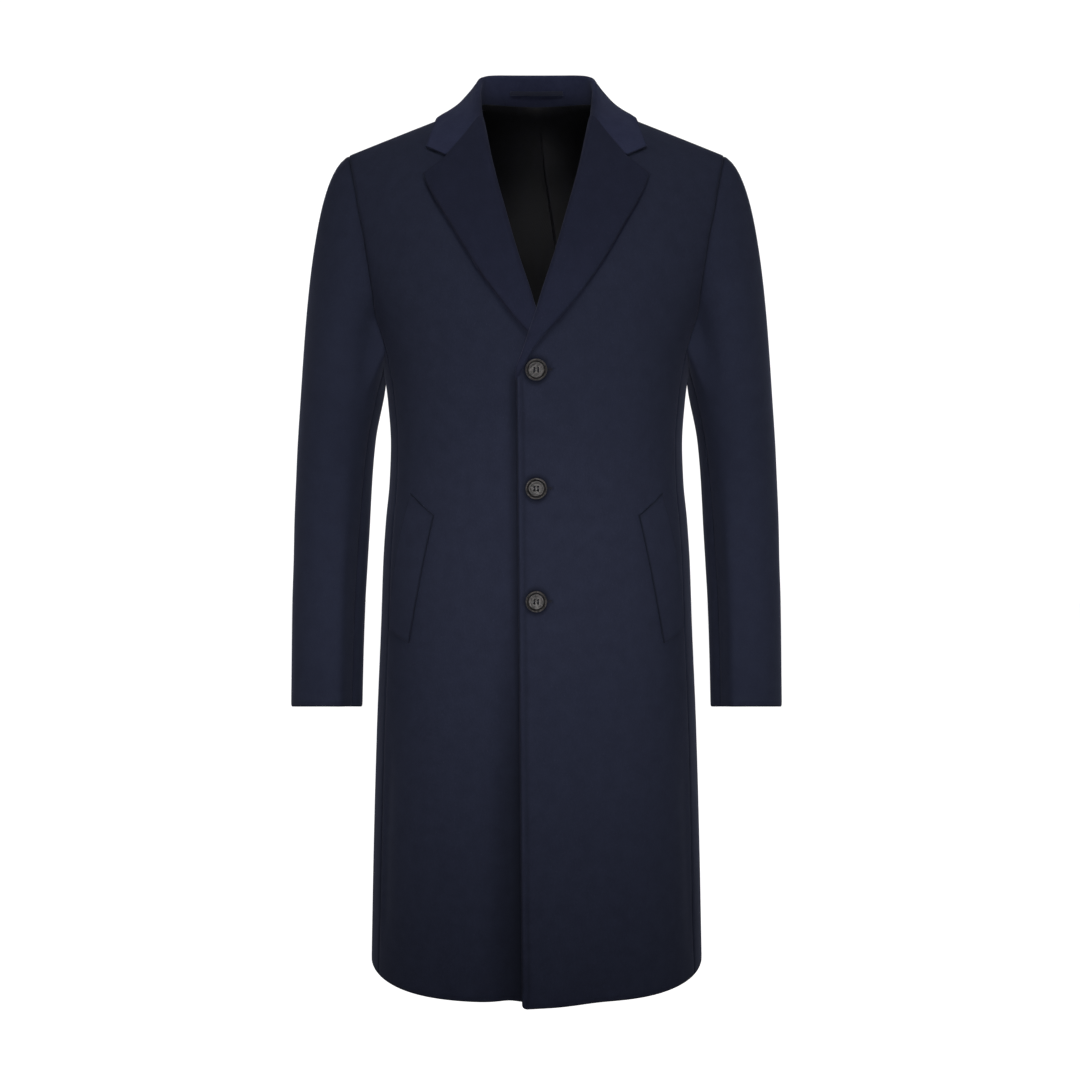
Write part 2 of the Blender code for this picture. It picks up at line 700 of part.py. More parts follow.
def raised(x, z, height, outer_front):
    """Point at a height over the left front's surface, and the normal there."""
    normal = body_normal(x, z, True)
    stand = height + (lift(x, z) if outer_front else 0.0)
    return on_body(x, z, True) + normal * np.asarray(stand)[..., None], normal


def lapel_plan():
    """x, height of the lapel in the front view: rows from gorge to break, columns from fold to edge."""
    table = np.array(LAPEL_EDGE)
    fold_z = with_halves(FRONT_EDGE_STATIONS)[-3::-1, None]
    fold_x = roll_x(fold_z)
    v = (fold_z - fold_z[0]) / (fold_z[-1] - fold_z[0])
    edge_x = smooth(table[:, 0], table[:, 1], v)
    edge_z = smooth(table[:, 0], table[:, 2], v)
    across = np.linspace(0, 1, LAPEL_COLUMNS + 1)[None, :]
    notch = LAPEL_NOTCH_COLUMN / LAPEL_COLUMNS
    tent = np.minimum(across / notch, (1 - across) / (1 - notch))
    fade = np.clip(1 - v / LAPEL_NOTCH_FADE, 0, 1) ** 2 * tent
    off_x = LAPEL_NOTCH[0] - (fold_x[0] + (edge_x[0] - fold_x[0]) * notch)
    off_z = LAPEL_NOTCH[1] - (fold_z[0] + (edge_z[0] - fold_z[0]) * notch)
    x = fold_x + (edge_x - fold_x) * across + off_x * fade
    z = fold_z + (edge_z - fold_z) * across + off_z * fade
    return x, z


def fold_over(fold, normal, away, steps):
    """A half circle round the front's edge, from the lying side to the inside."""
    over = LAPEL_PROUD + FACING / 2
    under = CLOTH + FACING_PARTING + FACING / 2
    radius = (over + under) / 2
    turn = np.radians(np.linspace(0, 180, steps + 1))[:, None, None]
    centre = fold + normal * (over - under) / 2
    return centre + radius * (normal * np.cos(turn) - away * np.sin(turn))


def lapel_grid(outer_front):
    """Middle of the lapel's cloth: rows down the fold, columns from its free edge over the fold to the inside."""
    x, z = lapel_plan()
    lying, normal = raised(x, z, LAPEL_PROUD + FACING / 2, outer_front)
    fold, fold_normal = raised(x[:, 0], z[:, 0], 0.0, outer_front)
    away = lying[:, 1] - lying[:, 0]
    away = unit(away - fold_normal * (away * fold_normal).sum(axis=1, keepdims=True))
    arc = np.moveaxis(fold_over(fold, fold_normal, away, FOLD_STEPS), 0, 1)
    shorter = 1 - 0.6 * np.linspace(0, 1, len(x))[:, None]
    inside = []
    for step in (0.5, 1.0):
        flat = fold + away * FACING_RETURN * step * shorter
        in_x, in_z = flat[:, 0], flat[:, 2]
        inside.append(raised(in_x, in_z, -(CLOTH + FACING_PARTING + FACING / 2), outer_front)[0])
    return np.concatenate([lying[:, :0:-1], arc, np.moveaxis(np.array(inside), 0, 1)], axis=1)


def make_lapel(name, side, outer_front, material, collection):
    grid = mirrored(lapel_grid(outer_front), side)
    folded_sheet(name, grid, Vector((0, -1, 0)), FACING, material, collection)


# ---------------------------------------------------------------- collar


def collar_section(share):
    """Middle of the collar's cloth across one place: up the stand, over the fold and down the fall."""
    table = np.array(COLLAR_STATIONS, float)
    fold = np.array([smooth(table[:, 0], table[:, k], share) for k in (1, 2, 3)])
    edge_x, edge_z = (float(smooth(table[:, 0], table[:, k], share)) for k in (4, 5))
    front = share > COLLAR_LYING
    lying = float(ease((share - COLLAR_LYING) / (1 - COLLAR_LYING)))
    over = LAPEL_PROUD + COLLAR_WALL / 2 + COLLAR_CLEAR * float(ease(1 - abs(share - COLLAR_LYING) / 0.28))
    gorge_x, gorge_z = lapel_plan()
    gorge = LAPEL_NOTCH_COLUMN + 1
    fall = np.linspace(0, 1, COLLAR_FALL_STEPS + 1)
    edge_z = min(edge_z, float(ridge(np.array(edge_x), True)) - 1e-6) if 0.55 < share < 0.7 else edge_z
    edge, edge_normal = on_body(edge_x, edge_z, front), body_normal(edge_x, edge_z, front)
    edge = edge + edge_normal * over
    end_x = np.interp(fall, np.linspace(0, 0.7, gorge), gorge_x[0, :gorge])
    end_z = np.interp(fall, np.linspace(0, 0.7, gorge), gorge_z[0, :gorge])
    past = np.clip((fall - 0.7) / 0.3, 0, 1)
    end_x += (COLLAR_STATIONS[-1][4] - LAPEL_NOTCH[0]) * past
    end_z += (COLLAR_STATIONS[-1][5] - LAPEL_NOTCH[1]) * past + GORGE_PARTING * (1 - past)
    straight_x = fold[0] + (edge_x - fold[0]) * fall
    straight_z = fold[2] + (edge_z - fold[2]) * fall
    flat_x = straight_x + (end_x - straight_x) * lying
    flat_z = straight_z + (end_z - straight_z) * lying
    flat, _ = raised(flat_x, np.minimum(flat_z, ridge(flat_x, True) - 1e-5), over, False)
    end_point, end_normal = raised(end_x[:1], end_z[:1], 0.0, False)
    radial = unit(np.array([fold[0], fold[1] - 0.02, 0.0]))
    outward = unit(radial * (1 - lying) + end_normal[0] * lying)
    down_the_gorge = unit(flat[1] - flat[0])
    apex = unit(np.array([0, 0, 1.0]) * (1 - lying) - down_the_gorge * lying)
    apex = unit(apex - outward * (apex @ outward))
    inside = CLOTH + COLLAR_TUCK + COLLAR_WALL / 2
    radius = COLLAR_FOLD * (1 - lying) + (over + inside) / 2 * lying
    centre = fold * (1 - lying) + (end_point[0] + end_normal[0] * (over - inside) / 2) * lying
    free = centre + outward * radius + (edge - centre - outward * radius) * fall[:, None]
    free += (outward * 0.006 + np.array([0, 0, 0.004])) * np.sin(np.pi * fall)[:, None]
    stuck = float(ease((share - 0.45) / 0.35))
    falling = free + (flat - free) * stuck
    falling[0] = centre + outward * radius
    if share < 0.66:
        neck_x = NECK_POINT_X * math.sin(math.pi / 2 * min(share / 0.62, 1.0))
        neck, neck_normal = on_body(neck_x, NAPE_Z, False), body_normal(neck_x, NAPE_Z, False)
    if share >= 0.62:
        down = (share - 0.62) / 0.38
        neck_z = NECK_POINT_Z + (ROLL_LINE[-1][0] - NECK_POINT_Z) * down
        neck_x = NECK_POINT_X + (ROLL_LINE[-1][1] - NECK_POINT_X) * down
        neck, neck_normal = on_body(neck_x, neck_z, True), body_normal(neck_x, neck_z, True)
    middle = neck - neck_normal * CLOTH / 2
    top = centre - outward * radius
    foot = middle + unit(top - middle) * 0.0014
    tuck = centre - outward * radius + down_the_gorge * 0.006
    foot = foot * (1 - lying) + tuck * lying
    climb = np.linspace(0, 1, COLLAR_STAND_STEPS + 1)[:-1, None]
    stand = foot + (top - foot) * climb
    turn = np.radians([180, 130, 90, 50])[:, None]
    arc = centre + radius * (outward * np.cos(turn) + apex * np.sin(turn))
    return np.concatenate([stand, arc, falling])


def collar_grid():
    """Rows from one end of the collar to the other, columns from the foot of the stand to the outer edge."""
    half = np.array([collar_section(share) for share in np.linspace(0, 1, COLLAR_COLUMNS + 1)])
    return np.concatenate([mirrored(half[:0:-1], -1), half])


def make_collar(material, collection):
    folded_sheet("collar", collar_grid(), Vector((0, -1, 0)), COLLAR_WALL, material, collection)


# ---------------------------------------------------------------- back lining, welts, loop


def pleat_height(x, z):
    """How far the centre pleat stands off the lining, with its fold towards the wearer's left."""
    fold_x = PLEAT_TOP_X - PLEAT_DRIFT * z
    rising = np.clip((x - fold_x + PLEAT_WIDTH) / PLEAT_WIDTH, 0, 1)
    falling = np.clip((fold_x + PLEAT_FOLD - x) / PLEAT_FOLD, 0, 1)
    return PLEAT_DEPTH * np.minimum(rising, falling)


def make_lining(material, collection):
    """The back lining, on the rows of the back's inner face, with its centre pleat."""
    x, z, front = back_grid()
    z = np.minimum(z, ridge(x, front))
    normal = body_normal(x, z, front)
    inner = on_body(x, z, front) - normal * CLOTH
    first = len(LOWER_ROWS) + 1 - LINING_ROWS
    rows = []
    for face, out in zip(inner[first:], normal[first:]):
        face, out = face[: BACK_COLUMNS + 1], out[: BACK_COLUMNS + 1]
        side_x = face[-1, 0] - LINING_MARGIN
        fold_x = PLEAT_TOP_X - PLEAT_DRIFT * face[0, 2]
        share = np.linspace(0, 1, LINING_COLUMNS + 1)
        right = -side_x + (fold_x - PLEAT_WIDTH + side_x) * share
        left = fold_x + PLEAT_FOLD + (side_x - fold_x - PLEAT_FOLD) * share
        across = np.concatenate([right, [fold_x], left])
        far, near = np.abs(across), face[:, 0]
        base = np.stack([across, np.interp(far, near, face[:, 1]), np.interp(far, near, face[:, 2])], axis=1)
        way = np.stack([np.interp(far, near, out[:, k]) for k in range(3)], axis=1)
        way[:, 0] *= np.sign(across)
        inset = LINING_PARTING + LINING / 2 + pleat_height(base[:, 0], base[:, 2])
        inset = inset + LINING_NECK_PARTING * ease((base[:, 2] + 0.06) / 0.06)
        rows.append(base - unit(way) * inset[:, None])
    rows[-1] = rows[-1] + unit(rows[-2] - rows[-1]) * LINING_MARGIN
    folded_sheet("lining_back", np.array(rows), Vector((0, 1, 0)), LINING, material, collection)


def make_welt(name, side, material, collection):
    """A slanted welt on the front, its open edge towards the side."""
    corner = np.array(WELT_CORNERS)
    angles = np.degrees(np.arcsin((corner[:, 0] / ring(corner[:, 1])[0]) ** (RING_POWER / 2)))
    along = np.linspace(0, 1, WELT_ROWS + 1)[:, None]
    across = np.linspace(0, 1, WELT_COLUMNS + 1)[None, :]
    top = (1 - across) * np.stack([angles[0], corner[0, 1]])[:, None, None] + across * np.stack([angles[1], corner[1, 1]])[:, None, None]
    foot = (1 - across) * np.stack([angles[3], corner[3, 1]])[:, None, None] + across * np.stack([angles[2], corner[2, 1]])[:, None, None]
    plan = top * (1 - along) + foot * along
    angle = plan[0] + WELT_BOW * np.sin(np.pi * along) * across
    x = ring_x(angle, plan[1])
    base, normal = raised(x, plan[1], WELT_PROUD + FACING / 2, False)
    folded_sheet(name, mirrored(base, side), Vector((0, -1, 0)), FACING, material, collection)


def make_loop(material, collection):
    """A short tape across the inside of the stand, sewn at its ends and bowed off it between them."""
    share = np.linspace(-1, 1, LOOP_STEPS + 1)
    reach = LOOP_HALF / COLLAR_STATIONS[2][1] * COLLAR_STATIONS[2][0]
    sections = np.array([collar_section(abs(a) * reach) for a in share])
    sections[:, :, 0] *= np.where(share < 0, -1, 1)[:, None]
    foot, top = sections[:, 0], sections[:, COLLAR_STAND_STEPS]
    up = unit(top - foot)
    middle = foot + up * ((LOOP_HEIGHT - foot[:, 2]) / up[:, 2])[:, None]
    along = unit(np.gradient(middle, axis=0))
    inward = unit(np.cross(along, up))
    inward *= np.sign(-inward[:, 1:2])
    off = COLLAR_WALL / 2 + LOOP_PARTING + LOOP_THICK / 2 + LOOP_BOW * (1 - share**4)
    middle = middle + inward * off[:, None]
    grid = np.stack([middle - up * LOOP_WIDTH / 2, middle + up * LOOP_WIDTH / 2], axis=1)
    folded_sheet("hanger_loop", grid, Vector((0, -1, 0)), LOOP_THICK, material, collection)


# ---------------------------------------------------------------- buttons


def thread_hole_cutter(button, x, y, cutters):
    top = BUTTON_PROFILE[0][1]
    bpy.ops.mesh.primitive_cylinder_add(
        vertices=THREAD_HOLE_SIDES, radius=THREAD_HOLE_RADIUS, depth=2 * THREAD_HOLE_DEPTH, location=(x, y, top)
    )
    cutter = bpy.context.active_object
    cutter.name = f"{button.name}_thread_hole"
    for owner in list(cutter.users_collection):
        owner.objects.unlink(cutter)
    cutters.objects.link(cutter)
    cutter.parent = button
    cutter.hide_render = True
    cutter.display_type = "WIRE"
    cut = button.modifiers.new("thread_hole", "BOOLEAN")
    cut.operation = "DIFFERENCE"
    cut.object = cutter


def make_button(name, height, material, collection, cutters):
    """A four-hole button: a turned profile, with the holes cut, set square to the cloth on the centre line."""
    mesh = bpy.data.meshes.new(name)
    points = [(radius, 0.0, z) for radius, z in BUTTON_PROFILE]
    mesh.from_pydata(points, [(k, k + 1) for k in range(len(points) - 1)], [])
    mesh.materials.append(material)
    button = bpy.data.objects.new(name, mesh)
    collection.objects.link(button)
    turn = button.modifiers.new("turned", "SCREW")
    turn.steps = BUTTON_STEPS
    turn.render_steps = BUTTON_STEPS
    turn.use_merge_vertices = True
    turn.merge_threshold = 1e-5
    turn.use_smooth_shade = True
    for x in (-THREAD_HOLE_SPREAD, THREAD_HOLE_SPREAD):
        for y in (-THREAD_HOLE_SPREAD, THREAD_HOLE_SPREAD):
            thread_hole_cutter(button, x, y, cutters)
    seat, normal = raised(np.array([0.0]), np.array([height]), SEAM, True)
    button.location = seat[0]
    button.rotation_mode = "QUATERNION"
    button.rotation_quaternion = Vector(normal[0]).to_track_quat("Z", "Y")


# ---------------------------------------------------------------- the whole coat


def clear_scene():
    for thing in list(bpy.data.objects):
        bpy.data.objects.remove(thing, do_unlink=True)


def new_collection(name):
    collection = bpy.data.collections.new(name)
    bpy.context.scene.collection.children.link(collection)
    return collection


def main():
    clear_scene()
    coat = new_collection("wool_overcoat")
    cutters = new_collection("cutters")
    navy = make_material("navy_melton", NAVY, 0.9)
    turned_back = make_material("navy_melton_lapel", NAVY_LAPEL, 0.9)
    lining = make_material("black_lining", BLACK, 0.45)
    tape = make_material("black_tape", BLACK, 0.7)
    horn = make_material("grey_brown_horn", HORN, 0.35)
    for side_name, side in (("left", 1), ("right", -1)):
        outer_front = side > 0
        make_front(f"front_{side_name}", side, outer_front, navy, coat)
        make_back(f"back_{side_name}", side, navy, coat)
        make_sleeve(side_name, side, navy, coat)
        make_lapel(f"lapel_{side_name}", side, outer_front, turned_back, coat)
        make_welt(f"pocket_welt_{side_name}", side, navy, coat)
    make_collar(turned_back, coat)
    make_lining(lining, coat)
    make_loop(tape, coat)
    for number, height in enumerate(BUTTON_HEIGHTS, 1):
        make_button(f"button_{number}", height, horn, coat, cutters)


main()
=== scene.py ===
"""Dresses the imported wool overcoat: melton cloth, lapels and collar, lining, horn buttons, plain studio.

Metres, +Z up, the coat's front towards -Y, the wearer's left at +X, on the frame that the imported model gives.
Each piece of cloth is a thin shell round its middle surface, which is worked out from the coat's own sizes.
"""

import logging
import math
from dataclasses import dataclass, field
from enum import Enum

import bpy
import numpy as np
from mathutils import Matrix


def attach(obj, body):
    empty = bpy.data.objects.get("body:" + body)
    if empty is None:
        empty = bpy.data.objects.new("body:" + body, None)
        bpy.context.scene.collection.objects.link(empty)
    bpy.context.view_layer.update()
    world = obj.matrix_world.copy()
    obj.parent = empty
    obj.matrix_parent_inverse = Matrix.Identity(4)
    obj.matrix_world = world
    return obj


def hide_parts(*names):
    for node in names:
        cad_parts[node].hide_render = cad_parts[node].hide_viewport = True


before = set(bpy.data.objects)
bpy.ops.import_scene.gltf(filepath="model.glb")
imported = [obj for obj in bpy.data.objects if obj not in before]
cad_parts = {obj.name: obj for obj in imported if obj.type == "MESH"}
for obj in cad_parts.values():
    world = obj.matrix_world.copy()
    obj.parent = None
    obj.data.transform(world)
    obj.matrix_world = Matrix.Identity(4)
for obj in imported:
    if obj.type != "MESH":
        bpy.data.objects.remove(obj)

Array = np.ndarray
Material = bpy.types.Material
Piece = bpy.types.Object
Socket = bpy.types.NodeSocket
Tree = bpy.types.NodeTree
LOG = logging.getLogger("overcoat")
EDGE_STEPS = (0.0, 0.00012, 0.0004, 0.0008, 0.0013, 0.0022)
SEAM_WIDTH = 0.0017
BORDER_FADE = 0.003  # relief starts this far inside a border
WHOLE_TURN = 6.28  # radians, for stripes
BUTTON_HEIGHTS = (-0.2915, -0.4255, -0.5545)


class Side(Enum):
    """The wearer's own sides, with the sign of x on each."""

    LEFT = 1
    RIGHT = -1

    @property
    def word(self) -> str:
        """The side's name as the nodes spell it."""
        return self.name.lower()

    def turn(self, points: Array) -> Array:
        """Reflects points made for the left side to this side."""
        return points * np.array([self.value, 1.0, 1.0])


# ---- curves and grids


def smooth(places: Array, values: Array, at: Array) -> Array:
    """A curve through (place, value) pairs that never overshoots: cubics whose slopes are harmonic means.

    Args:
        places: Rising places of the given values.
        values: One value or one array for each place.
        at: Places to read, of any shape.
    Returns:
        The values there, with at's shape first.
    """
    places, values, at = (np.asarray(a, float) for a in (places, values, at))
    tail = (1,) * (values.ndim - 1)
    step = np.diff(places).reshape((-1,) + tail)
    slope = np.diff(values, axis=0) / step
    product = slope[:-1] * slope[1:]
    total = np.where(product > 0, slope[:-1] + slope[1:], 1.0)
    bend = np.concatenate([slope[:1], np.where(product > 0, 2 * product / total, 0.0), slope[-1:]])
    i = np.clip(np.searchsorted(places, at) - 1, 0, len(places) - 2)
    t = np.clip((at - places[i]) / np.diff(places)[i], 0.0, 1.0).reshape(at.shape + tail)
    return cubic(t, values[i], step[i] * bend[i], values[i + 1], step[i] * bend[i + 1])


def cubic(t: Array, start: Array, leave: Array, end: Array, arrive: Array) -> Array:
    """The cubic between two places whose slopes there are given, at shares t of the way.

    Args:
        t: Shares from 0 to 1.
        start: The first place.
        leave: The slope there, for the whole way.
        end: The second place.
        arrive: The slope there.
    Returns:
        The places between.
    """
    return (
        (1 + 2 * t) * (1 - t) ** 2 * start
        + t * (1 - t) ** 2 * leave
        + t**2 * (3 - 2 * t) * end
        + t**2 * (t - 1) * arrive
    )


def smooth_along(axis: int, places: Array, values: Array, at: Array) -> Array:
    """What smooth gives, along one axis of the values."""
    return np.moveaxis(smooth(places, np.moveaxis(values, axis, 0), at), 0, axis)


def ease(t: Array) -> Array:
    """0 below 0, 1 above 1, and an S between."""
    t = np.clip(t, 0.0, 1.0)
    return t * t * (3 - 2 * t)


def round_angles(count: int) -> Array:
    """Even angles once round, from 0."""
    return np.linspace(0, 2 * np.pi, count + 1)[:-1]


def bell(distance: Array, width: Array) -> Array:
    """1 at no distance, falling away softly over a width."""
    return np.exp(-((distance / width) ** 2))


def unit(vectors: Array) -> Array:
    """The vectors at length 1."""
    return vectors / np.maximum(np.linalg.norm(vectors, axis=-1, keepdims=True), 1e-12)


def dot(a: Array, b: Array) -> Array:
    """Dot products along the last axis, which stays, with length 1."""
    return (a * b).sum(axis=-1, keepdims=True)


def spaced(length: float, spacing: float, edges: bool = True) -> Array:
    """Places from 0 to a length, evenly spaced, and closer at both ends where an edge turns over.

    Args:
        length: The whole length in metres.
        spacing: The usual distance between two places.
        edges: Whether the ends get the close places.
    Returns:
        Shares of the length, from 0 to 1.
    """
    close = np.array(EDGE_STEPS if edges else (0.0,))
    inner = np.linspace(close[-1], length - close[-1], max(2, int(round(length / spacing))))
    places = np.concatenate([close[:-1], inner, length - close[-2::-1]]) if edges else inner
    return places / length


def lengths(points: Array, axis: int) -> Array:
    """Length run along the grid lines of one axis, from 0 at its start."""
    run = np.linalg.norm(np.diff(points, axis=axis), axis=-1).cumsum(axis=axis)
    return np.insert(run, 0, 0.0, axis=axis)


def refine(grid: Array, points: Array, spacing: float) -> Array:
    """Reads smooth curves through a coarse grid, along both its axes, at close even places.

    Args:
        grid: Values at the coarse grid, of shape (rows, columns, values).
        points: The coarse grid's points in space, which give its lengths.
        spacing: Distance between the new rows and columns.
    Returns:
        The values at the close grid.
    """
    for axis in (0, 1):
        run = lengths(points, axis).mean(axis=1 - axis)
        at = spaced(run[-1], spacing) * run[-1]
        grid, points = smooth_along(axis, run, grid, at), smooth_along(axis, run, points, at)
    return grid


def grid_normals(points: Array, towards: Array) -> Array:
    """Unit normals of a grid, turned to the side that a rough direction names."""
    normal = unit(np.cross(np.gradient(points, axis=1), np.gradient(points, axis=0)))
    return normal * np.where(dot(normal, towards).mean() < 0, -1.0, 1.0)


def edge_distance(points: Array) -> Array:
    """Distance of each grid point from the nearest border, along the grid lines."""
    down, across = lengths(points, 0), lengths(points, 1)
    return np.minimum.reduce([down, down[-1:] - down, across, across[:, -1:] - across])


# ---- shells


@dataclass(frozen=True)
class Wall:
    """Thickness of a cloth and how roundly its edges turn over."""

    thickness: float = 0.0020
    edge: float = 0.0011
    sunk: float = 0.0  # how far a border is drawn in, where it is sewn

    def half(self, distance: Array) -> Array:
        """Half the wall at a distance from the border: a quarter round, then even."""
        return self.thickness / 2 * np.sqrt(1 - (1 - np.clip(distance / self.edge, 0, 1)) ** 2)


def put_object(name: str, data: bpy.types.ID) -> Piece:
    """Puts an object of this data in the scene.

    Args:
        name: The object's name.
        data: Its mesh, lamp or camera.
    Returns:
        The object, at the origin.
    """
    made = bpy.data.objects.new(name, data)
    bpy.context.scene.collection.objects.link(made)
    return made


def put_mesh(name: str, points: Array, faces: Array, materials: list, index: Array | None = None) -> Piece:
    """Makes a smooth-shaded object from arrays.

    Args:
        name: The piece's name.
        points: Vertices, of shape (n, 3).
        faces: Vertex numbers, of shape (m, 3) or (m, 4).
        materials: The piece's materials.
        index: The material of each face, or None for the first.
    Returns:
        The new object, at the origin.
    """
    mesh = bpy.data.meshes.new(name)
    mesh.from_pydata(points.tolist(), [], faces.tolist())
    for material in materials:
        mesh.materials.append(material)
    if index is not None:
        mesh.polygons.foreach_set("material_index", index.astype(np.int32))
    mesh.shade_smooth()
    mesh.update()
    return put_object(name, mesh)


def grid_quads(rows: int, columns: int) -> Array:
    """The four vertex numbers of each face of a grid of points, row by row."""
    a = np.arange(rows * columns).reshape(rows, columns)[:-1, :-1].ravel()
    return np.stack([a, a + 1, a + columns + 1, a + columns], axis=1)


def signed_volume(corner: Array) -> float:
    """Six times the volume inside triangles given by their corners, negative where they face inwards."""
    first, second, third = corner[:, 0], corner[:, 1], corner[:, 2]
    return float(np.einsum("ij,ij->", np.cross(second - first, third - first), first))


def put_values(piece: Piece, name: str, values: Array) -> None:
    """Stores one number, or one vector, for each of a piece's vertices, with zeros for any that are left.

    Args:
        piece: The piece.
        name: The attribute's name.
        values: A number or a vector for each of the first vertices.
    """
    kind = "FLOAT" if values.ndim == 1 else "FLOAT_VECTOR"
    whole = np.zeros((len(piece.data.vertices),) + values.shape[1:], np.float32)
    whole[: len(values)] = values
    attribute = piece.data.attributes.new(name, kind, "POINT")
    attribute.data.foreach_set("value" if values.ndim == 1 else "vector", whole.ravel())


def shell(
    name: str,
    middle: Array,
    normal: Array,
    wall: Wall,
    materials: list,
    relief: Array | float = 0.0,
    lined: Array | None = None,
    keep: Array | None = None,
    pressed: Array | float = 0.0,
) -> Piece:
    """A cloth's closed shell: its middle surface moved half a wall each way, both faces meeting at the border.

    Args:
        name: The piece's name.
        middle: Grid of points halfway through the cloth.
        normal: The outward normal at each.
        wall: The cloth's wall.
        materials: The outer face's material, then the lining's if it has one.
        relief: How much the outer face stands proud, at each point.
        lined: At each point, whether the inner face takes the second material.
        keep: Which cells have cloth, of the same shape. Without it, all have.
        pressed: How much painted shade darkens the colour at each point, from 0 to 1; a border always gets it.
    Returns:
        The new object.
    """
    rows, columns = middle.shape[:2]
    border = np.ones((rows, columns), bool)
    border[1:-1, 1:-1] = False
    distance = edge_distance(middle)
    if keep is not None:
        beside = np.zeros((rows + 1, columns + 1), bool)
        beside[1:-1, 1:-1] = keep
        whole = beside[1:, 1:] & beside[:-1, 1:] & beside[1:, :-1] & beside[:-1, :-1]
        border = ~whole
        distance = np.minimum(distance, cut_distance(middle, keep))
    half = wall.half(distance)
    middle = middle - normal * (wall.sunk * bell(distance, SEAM_WIDTH))[..., None]
    inside = np.clip(distance / BORDER_FADE, 0, 1)
    outer = middle + normal * (half + relief * inside)[..., None]
    inner = middle - normal * half[..., None]
    outer[border] = inner[border] = middle[border]
    number = np.arange(rows * columns).reshape(rows, columns)
    inner_number = np.where(border, number, number + rows * columns)
    quads = grid_quads(rows, columns)
    if keep is not None:
        quads = quads[keep.ravel()]
    inner_quads = inner_number.ravel()[quads][:, ::-1]
    faces = np.concatenate([quads, inner_quads])
    points = np.concatenate([outer.reshape(-1, 3), inner.reshape(-1, 3)])
    used, compact = np.unique(faces, return_inverse=True)
    points, faces = points[used], compact.reshape(faces.shape)
    if signed_volume(points[faces]) < 0:
        faces = faces[:, ::-1]
    index = None
    if lined is not None:
        cells = lined[:-1, :-1].ravel() if keep is None else lined[:-1, :-1][keep]
        index = np.concatenate([np.zeros(len(quads), int), cells])
    piece = put_mesh(name, points, faces, materials, index)
    # painted shade along every border, where a seam or an edge lies in shade, and wherever the caller asks for
    # more
    flat = np.maximum(bell(distance, SEAM_WIDTH), pressed).ravel()
    put_values(piece, "pressed", np.concatenate([flat, flat])[used])
    return piece


def cut_distance(points: Array, keep: Array) -> Array:
    """Distance of each point from a cut corner of the grid, whose cells past one row and one column are gone.

    Args:
        points: The grid.
        keep: Which cells have cloth.
    Returns:
        The distance along the grid lines, large where no cut is met.
    """
    row = int(np.argmax(~keep.all(axis=1)))
    column = int(np.argmax(~keep.all(axis=0)))
    down, across = lengths(points, 0), lengths(points, 1)
    below = np.where(np.arange(points.shape[1]) >= column, down[row] - down, 1.0)
    left = across[:, column : column + 1] - across
    beside = np.where((np.arange(points.shape[0]) >= row)[:, None], left, 1.0)
    corner = np.maximum(down[row] - down, 0) + np.maximum(left, 0)
    return np.maximum(np.minimum(np.minimum(below, beside), corner), 0.0)


def lay(piece: Piece, nodes: tuple) -> None:
    """Puts a piece on the coat's one body, in place of its solids, and logs its number of faces.

    Args:
        piece: The new piece.
        nodes: The solids that it stands for.
    """
    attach(piece, "root")
    if nodes:
        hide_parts(*nodes)
    LOG.info("%s: %d faces", piece.name, len(piece.data.polygons))


def sew(
    side: Side,
    kind: str,
    middle: Array,
    normal: Array,
    wall: Wall,
    materials: list,
    slot: str,
    sewn_to: tuple,
    cap: float = 0.0,
    **options: Array | float | None,
) -> None:
    """Makes one side's piece of cloth from the left's shape, and lays it in place of the solid of that name.

    Args:
        side: The side.
        kind: The piece's name without its side.
        middle: Grid of points halfway through the cloth.
        normal: The outward normal at each.
        wall: The cloth's wall.
        materials: The materials that shell takes.
        slot: The record's material slot; not used.
        sewn_to: The kinds of the same side that it is sewn to or lies on.
        cap: Not used.
        options: What else shell takes.
    """
    name = f"{kind}_{side.word}"
    piece = shell(f"{name}_cloth", side.turn(middle), side.turn(normal), wall, materials, **options)
    rests_on = tuple(f"{other}_{side.word}" for other in sewn_to)
    lay(piece, (name,))


# ---- the coat's form


